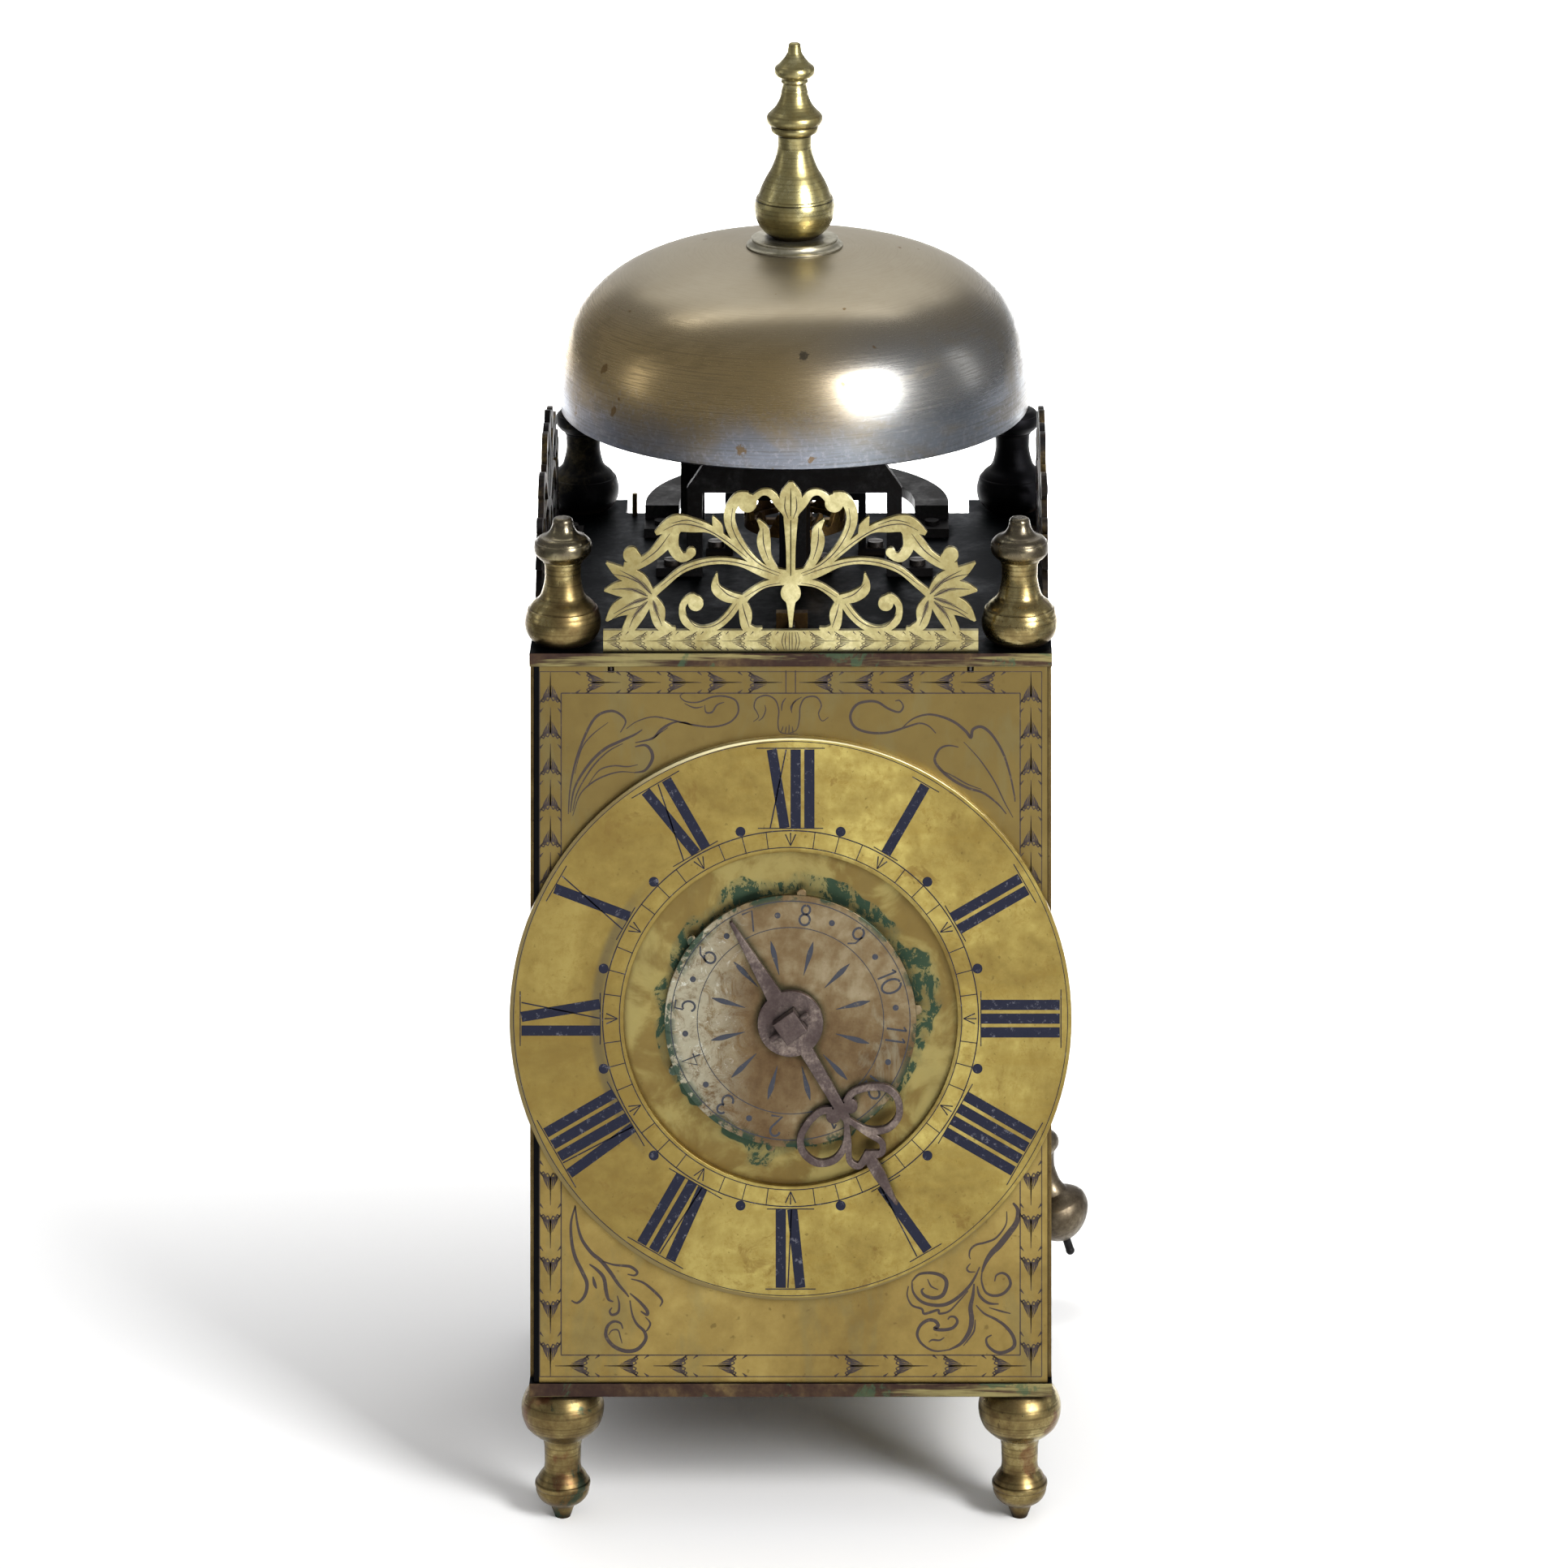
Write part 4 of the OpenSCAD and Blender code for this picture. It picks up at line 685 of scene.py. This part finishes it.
right_scroll = [
    (0.55, [(55.9, -47), (57.1, -48.8), (56.8, -51.8), (54.7, -54.8), (52.3, -57.8), (50.5, -59.6),
            (49, -61.9), (48.1, -64.3)]),
    (0.24, [(48.1, -64.3), (48, -66.7), (49, -69.4), (51.1, -70.3), (53.5, -69.7), (55.2, -67.6),
            (54.7, -65.5), (53.2, -64.6), (51.7, -65.2), (51.3, -66.7)]),
    (0.16, [(54.3, -49.1), (54.1, -52.4), (51.7, -55.7), (49, -56.9), (46.6, -57.5), (45.2, -58.7),
            (44.9, -60.2), (45.2, -61.1)]),
    (0.14, [(45.2, -62.2), (44.3, -63.4), (44.9, -64.3), (46.4, -64.3)]),
    (0.3, [(47.5, -63.1), (46.4, -65.5), (44.9, -67.9), (42.2, -70.6), (39.2, -72.4), (36.2, -72.7),
            (32.9, -71.8), (30.8, -69.4), (30.5, -66.7)]),
    (0.34, [(30.5, -66.7), (32.3, -64.9), (35.6, -64.6), (38.3, -65.5), (39.2, -67.3), (38.3, -70),
            (36.2, -70.9), (33.8, -70.3), (32.9, -69.1), (33.5, -68.4)]),
    (0.12, [(34.4, -66.1), (35.3, -67.9), (37.1, -68.8)]),
    (0.42, [(46.1, -67.3), (45.8, -70.3), (45.2, -73.3), (45.5, -76.3), (44.9, -79.3), (42.8, -82.3),
            (39.8, -83.9)]),
    (0.3, [(39.8, -83.9), (36.2, -84.2), (33.2, -82.6), (31.8, -80.2), (32.6, -77.8), (34.4, -76.5),
            (36.2, -76.6), (37.1, -77.8), (36.2, -78.6), (38.3, -78.9), (40.7, -78.4), (41.9, -76.9),
            (41.3, -75.7), (40.1, -75.6), (39.5, -76.3)]),
    (0.14, [(46.4, -76.3), (46.2, -78.7), (45.5, -80.2), (43.4, -82.9)]),
    (0.2, [(44.6, -69.1), (42.2, -71.8), (39.8, -74.2), (37.4, -74.8), (37.1, -73.9), (35, -74.5),
            (33.5, -74.8), (32.9, -73.6), (30.5, -72.7), (29.3, -70.3), (29.6, -67.9)]),
    (0.24, [(46.9, -67.9), (47.5, -70.3), (49.6, -72.1), (52.3, -72.4)]),
    (0.14, [(49.9, -73.3), (52.9, -74.2), (55.3, -74.8)]),
    (0.3, [(46.6, -72.7), (48.7, -74.8), (51.7, -76.3), (54.1, -78.1), (55.9, -80.5), (56.2, -82.9),
            (54.1, -84.4), (51.7, -84.5), (49.6, -82.9), (49.2, -81.1), (50.5, -80.2)]),
    (0.14, [(34.7, -82), (35.6, -81.4), (37.4, -81.5), (38.6, -80.8)])]
for routes, weight in ((top_left, 1.15), (tulip_left, 1.1), (tulip_right, 1.1), (top_right, 1.15),
                       (left_spray, 1.5), (right_scroll, 1.4)):
    for half, route in routes:
        last = len(route) - 1
        plate_cuts.curve([(x, dial_z + z, 0.05 + weight * half * (0.25 + 0.7 * math.sin(math.pi * i / last)))
                          for i, (x, z) in enumerate(route)])
plate_cuts.finish("front_plate_engraving", cut_wax, "frame")


# The chapter ring: brass, stoned smooth and lacquered by hand, brighter than the plate, with blue-black
# wax in its numerals, half-hour dots and the quarter-hour track.
def ring_stains(place, body):
    streak = streaks(place, (30, 30, 140), 5.0, 0.65, 0.3, turn=(0, 0.06, 0))
    body = stained(body, step(streak, 0.5, 0.7) * 0.55, 146, 124, 62)
    mottle = step(noise(place, 260.0, 9.0, 0.8, 0.4), 0.5, 0.62)
    body = stained(body, mottle * 0.45, 134, 110, 54)
    spot = step(noise(place, 95.0, 5.0, 0.7, 0.6), 0.6, 0.68)
    body = stained(body, spot * 0.5, 112, 84, 44)
    far, x, z = from_dial(place)
    # painted shade: the left side of the ring is darker, away from the key lamp
    left = 1.0 - step(x, -62 * mm, 30 * mm)
    body = stained(body, left * 0.65, 126, 106, 58)
    body = stained(body, step(x, 10 * mm, 66 * mm) * 0.25, 122, 104, 56)
    smear = abs(far - 49.5 * mm)
    smear = 1.0 - step(smear, 0.5 * mm, 2.2 * mm)
    smear = smear * (1.0 - step(x, -46 * mm, -34 * mm))
    body = stained(body, smear * 0.6, 84, 80, 66)
    rim = 1.0 - step(far, 42.0 * mm, 42.8 * mm)
    body = mixed(rim * 0.4, body, umber)
    # a painted highlight on the outer rim: pale towards the upper right, with painted shade towards the
    # lower left
    bright = step(x + z, 10 * mm, 60 * mm)
    edge = mixed(bright, colour(120, 106, 70), colour(232, 222, 176))
    return mixed(step(far, 69.9 * mm, 70.1 * mm), body, edge)


dial_brass = old_metal("dial_brass", (166, 148, 82), (196, 180, 106), (128, 108, 58), clouds=30.0,
                       cover=0.46, freckles=0.4, dirt=colour(70, 50, 30), reach=1.2 * mm,
                       dirt_strength=0.6, gloss=0.02, over=ring_stains)
dress(dial_brass, "chapter_ring")
numeral_wax = wax_fill("numeral_wax", (17, 20, 38), (84, 84, 92), 0.6)
ring_cuts = Cuts(ring_low.y)
numeral_in, numeral_out = 47.9, 67.6
thick, thin = 1.28, 0.16
track_in, track_out = 43.0, 47.2
stroke_gap = 3.45
dot_out, dot_radius = 48.6, 1.25


def numeral_strokes(text):
    """Strokes of a Roman numeral as foot, head and half width, from left to right, and its width."""
    made, x = [], 0.0
    for letter in text:
        if letter == "I":
            made.append((x + thick, x + thick, thick))
            x += stroke_gap
        elif letter == "V":
            made.append((x + 3.3, x + thick, thick))
            made.append((x + 3.5, x + 4.4, thin))
            x += 4.9
        else:
            made.append((x + 4.5, x + thick, thick))
            made.append((x + 0.9, x + 4.9, thin))
            x += 6.0
    return made, x - stroke_gap + 2 * thick


def on_dial(hour, across, out):
    """A place on the dial for an upright numeral whose top points outwards."""
    t = math.radians(hour * 30)
    return (across * math.cos(t) + out * math.sin(t), dial_z + out * math.cos(t) - across * math.sin(t))


for hour, text in enumerate("I II III IIII V VI VII VIII IX X XI XII".split(), 1):
    strokes, wide = numeral_strokes(text)
    for foot, head, half in strokes:
        low, high = on_dial(hour, foot - wide / 2, numeral_in), on_dial(hour, head - wide / 2, numeral_out)
        ring_cuts.sliver([(*low, half), (*high, half)])
    for out, over in ((numeral_in - 0.1, 2.2), (numeral_out + 0.3, 2.6)):
        ends = [on_dial(hour, s * (wide / 2 + over), out) for s in (-1, 1)]
        ring_cuts.sliver([(*ends[0], 0.12), (*ends[1], 0.12)])
    ring_cuts.spot(*on_dial(hour - 0.5, 0, dot_out), dot_radius)
    for across, out in ((0, track_out - 0.5), (-1.3, track_out - 0.9), (1.3, track_out - 0.9)):
        ring_cuts.sliver([(*on_dial(hour, across, out), 0.16), (*on_dial(hour, 0, track_in + 0.4), 0.1)])
for tick in range(48):
    if tick % 4:
        ring_cuts.sliver([(*on_dial(tick / 4, 0, track_in), 0.11), (*on_dial(tick / 4, 0, track_out), 0.11)])
ring_cuts.circle(0, dial_z, track_in, 0.11, 160)
ring_cuts.circle(0, dial_z, track_out, 0.14, 160)
ring_cuts.circle(0, dial_z, ring_high.x / mm - 1.0, 0.09, 200)
ring_cuts.finish("dial_numerals", numeral_wax, "frame")


# The alarm disc: copper-coloured brass, stained, with a pale crust at its left. It carries the hours
# as figures that read from the middle, a dot between each two, two circles and a star of twelve rays.
def disc_stains(place, body):
    far, x, z = from_dial(place)
    left = 1.0 - step(x, -26 * mm, -8 * mm)
    crust = left * step(noise(place, 170.0, 8.0, 0.8, 0.8), 0.36, 0.56)
    body = stained(body, crust * 0.75, 172, 168, 146)
    white = left * step(noise(place, 260.0, 8.0, 0.85, 1.6), 0.57, 0.62)
    body = stained(body, white * 0.8, 206, 206, 194)
    right = step(x, 6 * mm, 24 * mm)
    pale = step(streaks(place, (120, 120, 50), 6.0, 0.7, 0.8), 0.5, 0.64)
    body = stained(body, pale * right * 0.45, 146, 140, 118)
    rim = step(far, 28.5 * mm, 31.5 * mm)
    patch = rim * step(noise(place, 150.0, 6.0, 0.7, 0.3), 0.48, 0.54)
    return mixed(patch * 0.9, body, verdigris)


disc_brass = old_metal("disc_brass", (120, 102, 74), (146, 134, 108), (86, 66, 46), clouds=34.0,
                       freckles=0.35, dirt=colour(60, 66, 48), reach=2.5 * mm, dirt_strength=0.8,
                       over=disc_stains)
dress(disc_brass, "alarm_disc")
disc_wax = wax_fill("disc_wax", (50, 52, 60), (92, 84, 72), 0.55)
disc_cuts = Cuts(disc_low.y)
figure_half, least_half = 0.27, 0.2
figure_foot, figure_pitch, figure_wide, figure_high = 24.2, 2.9, 1.1, 1.14
disc_turn_hours = 128.0 / 30
disc_dot_out, disc_dot_radius = 26.6, 0.75
ray, ray_hours = [(0, 11.8, 0.05), (0, 14.5, 0.36), (0, 17.8, 0.66), (0, 20.6, 0.05)], 0.27


def figure_arc(x, z, rx, rz, start, end, count=10):
    """Rows along part of an ellipse. Angles are in degrees from the top, clockwise."""
    turns = [math.radians(start + (end - start) * i / count) for i in range(count + 1)]
    return [(x + rx * math.sin(t), z + rz * math.cos(t), figure_half) for t in turns]


figures = {
    "0": [figure_arc(0, 2.2, 1.5, 2.2, 0, 350, 16)],
    "1": [[(0, 0, 0.24), (0, 4.4, 0.24)], [(0, 4.4, 0.1), (-0.8, 3.7, 0.1)]],
    "2": [figure_arc(0, 3.2, 1.1, 1.2, -80, 130) + [(-1.2, 0, figure_half), (1.3, 0, 0.24)]],
    "3": [figure_arc(0, 3.4, 1.0, 1.0, -80, 175), figure_arc(0, 1.2, 1.25, 1.25, 5, 260)],
    "4": [[(0.6, 0, 0.2), (0.6, 4.4, 0.2), (-1.4, 1.4, 0.14), (1.4, 1.4, 0.14)]],
    "5": [[(1.1, 4.4, 0.2), (-0.7, 4.4, 0.16), (-0.9, 2.5, 0.12)], figure_arc(0, 1.4, 1.2, 1.4, -40, 240)],
    "6": [figure_arc(0, 1.3, 1.2, 1.3, 0, 350, 14), [(-1.2, 1.4, 0.16), (-0.7, 3.4, 0.16), (0.7, 4.5, 0.1)]],
    "7": [[(-1.2, 4.4, 0.24), (1.2, 4.4, 0.16), (-0.2, 0, 0.16)]],
    "8": [figure_arc(0, 1.2, 1.2, 1.2, 0, 350, 14), figure_arc(0, 3.4, 0.95, 1.0, 0, 350, 14)],
    "9": [figure_arc(0, 3.1, 1.2, 1.3, 0, 350, 14), [(1.2, 3, 0.16), (0.8, 1.0, 0.16), (-0.6, -0.1, 0.1)]]}
for hour in range(1, 13):
    at_hour = hour - 12 + disc_turn_hours
    text = str(hour)
    for i, digit in enumerate(text):
        shift = (i - (len(text) - 1) / 2) * figure_pitch
        for rows in figures[digit]:
            disc_cuts.sliver([(*on_dial(at_hour, shift + x * figure_wide, figure_foot + z * figure_high),
                               max(half, least_half)) for x, z, half in rows])
    disc_cuts.spot(*on_dial(at_hour + 0.5, 0, disc_dot_out), disc_dot_radius)
    disc_cuts.curve([(*on_dial(at_hour + ray_hours, x, out), half) for x, out, half in ray], 3)
for radius, half in ((23.4, 0.1), (30.0, 0.12)):
    disc_cuts.circle(0, dial_z, radius, half, 120)
disc_cuts.finish("alarm_disc_engraving", disc_wax, "alarm_dial")


# The frets: three pierced brass plates on the edges of the top plate. The front one is scraped bright
# and engraved with veins; its strip carries the leaf band again. The side ones are dark: tarnish, and
# painted shade.
def fret_tarnish(place, body):
    """Brown in the hollows of the scrollwork and gold where the rag has gone."""
    smoke = step(noise(place, 130.0, 6.0, 0.7, 0.5), 0.46, 0.62)
    body = stained(body, smoke * 0.4, 140, 124, 76)
    parts = xyz(place)
    ends = step(abs(parts[0]), 20 * mm, 42 * mm)
    return stained(body, ends * 0.5, 134, 120, 74)


fret_brass = old_metal("fret_brass", (200, 190, 138), (230, 222, 174), (142, 128, 82), clouds=70.0,
                       cover=0.42, dirt=colour(60, 46, 26), reach=1.0 * mm, dirt_strength=0.5,
                       over=fret_tarnish)
dress(fret_brass, "front_fret")
tarnish_and_shade_side_brass = old_metal("tarnish_and_shade_side_brass", (78, 66, 46), (132, 110, 66), (34, 32, 32), clouds=60.0, cover=0.66,
                       over=green_here(0.0, 60.0))
dress(tarnish_and_shade_side_brass, "left_fret", "right_fret")
strip_high = 5.2
fret_low, fret_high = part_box("front_fret")
fret_z = fret_low.z / mm
fret_cuts = Cuts(fret_low.y)
fret_half = fret_high.x / mm
strip_mid = fret_z + strip_high / 2
for side in (-1, 1):
    leaf_band(fret_cuts, (side * 2.2, strip_mid), (side * (fret_half - 1), strip_mid), 6.4,
              strip_high / 2 - 0.25, 3.6, 0.5)
    for x, bulge in ((0.35, 0), (1.1, 0.5), (1.6, 1.0)):
        fret_cuts.curve([(side * x, fret_z + 0.3, 0.05), (side * (x + bulge * 0.6), strip_mid, 0.1),
                         (side * x, fret_z + strip_high - 0.3, 0.05)])

# The veins of the scrollwork, as rows of x, height above the strip's foot and half width. A row
# without a half width is thin as a point.
pointed = 0.05
veins = [
    [(0, 19, 0.1), (0, 27, 0.14), (0, 33, 0.1)],
    [(0, 34, 0.1), (0, 38, 0.14), (0, 41)],
    [(0.6, 33.4), (1.5, 36, 0.14), (1.3, 39)],
    [(2.6, 19.6), (7.6, 21.8, 0.12), (12, 26, 0.12), (14.8, 31.4, 0.1), (14.6, 36)],
    [(5.6, 23), (6.8, 27, 0.14), (7, 31)],
    [(11, 23.6), (16, 27.6, 0.12), (22, 31, 0.14), (28, 32, 0.12), (32, 30.4)],
    [(22, 31.8), (26, 33, 0.12), (30, 32.2)],
    [(30.4, 29.6), (33.6, 25.4, 0.14), (37.6, 22.4)],
    [(3, 19), (10, 21.4, 0.12), (18, 22.8, 0.12), (26, 21, 0.12), (32.6, 16.4)],
    [(35, 14.4), (38.6, 18, 0.16), (43, 20.4)],
    [(36, 13.9), (40, 15.6, 0.16), (45, 15.6)],
    [(36, 13.4), (40, 12, 0.16), (44.6, 9.4)],
    [(36, 12.6), (39, 9.4, 0.16), (40.6, 6)],
    [(34.6, 12.8), (33.6, 9.6, 0.16), (32.4, 6.4)],
    [(37, 16.6), (41, 18.6, 0.14), (44.6, 19.4)],
    [(37, 11.6), (41.6, 10.2, 0.14), (45, 8)],
    [(2.6, 17.2), (7, 16.2, 0.1), (11.6, 13.6)],
    [(13, 13.2), (16, 14.4, 0.14), (18.6, 17)],
    [(12.2, 12), (11.4, 9, 0.14), (10.4, 6)],
    [(13.6, 12), (16.4, 8.4, 0.12), (20, 6.2, 0.1), (24, 6.4, 0.1), (26.6, 9.4)]]
leaf_vein = 0.16
hatches = ((-0.75, 0.05, 0.42), (-0.38, 0.0, 0.66), (0.38, 0.0, 0.66), (0.75, 0.05, 0.42))


def hatching(vein):
    """Fine lines beside a leaf's vein, each from its shift to the side, its start and its stop."""
    (x0, z0, w), (x1, z1, w), (x2, z2, w) = vein
    long = Vector((x2 - x0, z2 - z0))
    aside = Vector((-long.y, long.x)).normalized()
    made = []
    for shift, start, stop in hatches:
        rows = []
        for t, half in ((start, 0.03), ((start + stop) / 2, 0.07), (stop, 0.03)):
            bow = 4 * t * (1 - t)
            x = x0 + long.x * t + (x1 - (x0 + x2) / 2) * bow + aside.x * shift * (0.3 + t)
            z = z0 + long.y * t + (z1 - (z0 + z2) / 2) * bow + aside.y * shift * (0.3 + t)
            rows.append((x, z, half))
        made.append(rows)
    return made


for side in (-1, 1):
    for route in veins:
        vein = [(*row, pointed)[:3] for row in route]
        leaf = len(vein) == 3 and vein[1][2] >= leaf_vein
        for rows in [vein] + (hatching(vein) if leaf else []):
            fret_cuts.curve([(side * x, fret_z + z, half) for x, z, half in rows], 4)
fret_cuts.finish("front_fret_engraving", cut_wax, "frame")

# The bell: cast in bell metal, turned and brushed round its axis, brown with a bluish rim. Its wall is
# turned from the same curve inside and out, full in the shoulder, with the lip drawn in a little.
bell_low, bell_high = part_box("bell")
bell_mid = (bell_low + bell_high) / 2
bell_radius = (bell_high.x - bell_low.x) / 2
bell_rise = bell_high.z - bell_low.z
bell_wall, stem_hole, crown_radius = 2.2 * mm, 3.5 * mm, 16 * mm
lip_rise, tuck_in, tuck_rise = 0.9 * mm, 0.45 * mm, 6 * mm


def bell_side(radius, rise, inmost, fullness=2.85, rows=48):
    """Radius and height up the wall, from the lip to the inmost radius, drawn in at its foot."""
    made = []
    for i in range(rows):
        a = math.pi / 2 * (i / rows) ** 1.3
        z = rise * math.sin(a) ** (2 / fullness)
        r = radius * math.cos(a) ** (2 / fullness) - tuck_in * max(0.0, 1 - z / tuck_rise) ** 2
        if z > lip_rise and r > inmost:
            made.append((r, z))
    return made


outer = bell_side(bell_radius, bell_rise + 0.1 * mm, crown_radius)
inner = bell_side(bell_radius - bell_wall, bell_rise - bell_wall, stem_hole)
rim_out, rim_in = outer[0][0], inner[0][0]
lip = [(rim_in - 0.1 * mm, 0.5 * mm), (rim_in + 0.4 * mm, 0), (rim_out - 0.5 * mm, 0),
       (rim_out - 0.1 * mm, 0.4 * mm)]
crown = [(crown_radius, bell_rise), (stem_hole, bell_rise), (stem_hole, bell_rise - bell_wall)]
rows = lip + outer + crown + inner[::-1]
turns = 192
points = []
for radius, rise in rows:
    for i in range(turns):
        a = 2 * math.pi * i / turns
        points.append((bell_mid.x + radius * math.cos(a), bell_mid.y + radius * math.sin(a),
                       bell_low.z + rise))
faces = []
for j in range(len(rows)):
    first, then = j * turns, (j + 1) % len(rows) * turns
    for i in range(turns):
        k = (i + 1) % turns
        faces.append((first + i, first + k, then + k, then + i))
data = bpy.data.meshes.new("turned_bell")
data.from_pydata(points, [], faces)
data.polygons.foreach_set("use_smooth", [True] * len(faces))
data.set_sharp_from_angle(angle=math.radians(40))
turned_bell = new_object("turned_bell", data)
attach(turned_bell, "frame")
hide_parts("bell")

bell_metal, shader, place = new_material("bell_metal")
parts = xyz(place)
off_x = parts[0] - bell_mid.x
off_y = parts[1] - bell_mid.y
up = parts[2] - bell_low.z
low_down = 1.0 - step(up, 3 * mm, 22 * mm)
high_up = step(up, 24 * mm, 38 * mm)
plain = 1.0 - high_up * 0.8

# The brushing runs round the axis, so it is a function of the way along the profile. Half of it is
# broken into strokes, drawn on the surface as if unrolled.
profile = hypotenuse(off_x, off_y) - up + off_x * 0.02
lines_per_metre, strokes_per_radian = 1500.0, 7.0
angle = calc("ARCTAN2", off_x, 0.0 - off_y)
unrolled = put(place.tree, "CombineXYZ", {0: angle * strokes_per_radian, 1: profile * lines_per_metre})[0]
brushed = noise_along(profile * lines_per_metre, 4.0, 0.85) * 0.5 + noise(unrolled, 1.0, 4.0, 0.7) * 0.5
dark_line = step(brushed, 0.46, 0.6) * plain
scuffs = noise(place, 900.0, 3.0, 0.7)

bloom = up + (noise(place, 26.0, 4.0, 0.6, 0.8) - 0.5) * (30 * mm)
body = mixed(step(bloom, 2 * mm, 18 * mm), colour(128, 132, 142), colour(168, 146, 104))
body = stained(body, high_up * 0.75, 164, 158, 142)
blue = step(off_x, -6 * mm, 26 * mm) * (1.0 - high_up)
body = stained(body, blue * 0.8, 130, 136, 142)
mottle = step(streaks(place, (26, 26, 60), 6.0, 0.7, 0.5), 0.46, 0.62) * plain
body = stained(body, mottle * 0.4, 122, 106, 74)
body = stained(body, dark_line * 0.34, 84, 78, 66)
pale = step(scuffs, 0.5, 0.66) * (low_down * 0.3)
body = stained(body, pale, 176, 178, 184)
rust = step(noise(place, 130.0, 3.0, 0.6), 0.7, 0.73)
body = stained(body, rust * 0.8, 110, 84, 46)

# three spots on the front of the wall, from x off the axis, height above the rim and radius
front = step(0.0 - off_y, 0.0, 1 * mm)
for x, z, radius, tint in ((3.0, 27.0, 1.1, (74, 70, 62)), (-12.7, 4.9, 1.3, (116, 94, 60)),
                           (5.0, 2.8, 0.8, (116, 92, 58))):
    off = hypotenuse(off_x - x * mm, up - z * mm) + (scuffs - 0.5) * (4 * mm)
    spot = 1.0 - step(off, radius * 0.7 * mm, radius * 1.2 * mm)
    body = stained(body, spot * front * 0.8, *tint)
crown_dull = step(up, 30 * mm, 40 * mm) * 0.16
rough = 0.24 + (mottle * 0.05 + dark_line * 0.08) + low_down * 0.05 + crown_dull
relief = brushed * plain + scuffs * (low_down * 0.8)
feed(shader, {"Base Color": body, "Metallic": 1.0, "Roughness": rough, "Specular Tint": grey(0.8),
              "Normal": bump(relief, 0.3, 0.03 * mm)})
data.materials.append(bell_metal)

# The bell's finial and the washer under it, both of yellower brass, rubbed bright. The finial's brass is
# also made paler as a painted highlight.
finial_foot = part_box("bell_finial")[0].z


def finial_lines(place, body):
    """Dirt in the two lines cut round the finial's bulge and neck, and turning marks between."""
    up = xyz(place)[2] - finial_foot
    rings = noise_along(up * 1800.0, 2.0)
    body = stained(body, step(rings, 0.48, 0.7) * 0.4, 92, 80, 48)
    for rise in (10.0, 26.6):
        off = abs(up - rise * mm)
        line = 1.0 - step(off, 0.1 * mm, 0.28 * mm)
        body = stained(body, line * 0.85, 40, 32, 20)
    return body


rubbed_and_lit_finial_brass = old_metal("rubbed_and_lit_finial_brass", (168, 158, 110), (216, 208, 160), (112, 98, 58), clouds=70.0,
                         cover=0.42, freckles=0.5, reach=2.2 * mm, dirt_strength=1.0, gloss=0.05,
                         over=finial_lines)
dress(rubbed_and_lit_finial_brass, "bell_finial")
washer_brass = old_metal("washer_brass", (176, 170, 150), (214, 210, 196), (120, 116, 96), clouds=60.0,
                         cover=0.4, reach=1.5 * mm)
dress(washer_brass, "bell_washer")

# Iron on the top plate: the hoop that hangs the clock on its hook, the gable that carries the bell,
# and the alarm's hammer. All of it is nearly black.
dress(forged_iron, "hanging_hoop", "bell_stand", "alarm_bracket", "alarm_verge", "alarm_hammer",
      "alarm_lever")

# The movement: brass bars and wheels, smoked brown, with steel arbors and pinions.
movement_brass = old_metal("movement_brass", (140, 112, 62), (176, 146, 82), (82, 62, 40), clouds=80.0,
                           cover=0.6, reach=2.0 * mm)
# The bridge and cocks take the nearly black brass of dull patina and painted shade.
dress(patina_and_shade_brass, "crown_bridge", "verge_front_cock", "verge_rear_cock")
dress(movement_brass, "front_bar", "rear_bar", "crown_potence", "lever_lug", "great_wheel", "rope_pulley",
      "second_wheel", "contrate_wheel", "crown_wheel", "hour_wheel", "alarm_wheel", "alarm_pulley")
filed_steel = old_metal("filed_steel", (96, 94, 92), (140, 138, 134), (64, 54, 48), clouds=120.0,
                        reach=1.5 * mm)
dress(filed_steel, "bar_pins", "plate_screws", "great_arbor", "second_arbor", "contrate_arbor",
      "crown_arbor", "verge")

# The pendulum: an iron rod with a turned brass bob, brown and unpolished.
dress(forged_iron, "pendulum_rod")
bob_brass = old_metal("bob_brass", (112, 102, 84), (150, 140, 118), (74, 64, 52), clouds=90.0, cover=0.5,
                      freckles=0.4)
dress(bob_brass, "pendulum_bob")

# The hour hand: sawn from iron and filed, with a purple brown rust, on a square of the hour arbor and
# held by a tapered pin.
hand_iron = old_metal("hand_iron", (98, 86, 82), (140, 126, 114), (66, 54, 52), clouds=160.0, cover=0.55,
                      freckles=0.4, dirt=(0.01, 0.008, 0.008, 1), metallic=0.7, reach=1.5 * mm,
                      edge=0.4 * mm)
dress(hand_iron, "hour_hand", "hour_arbor", "hand_pin")
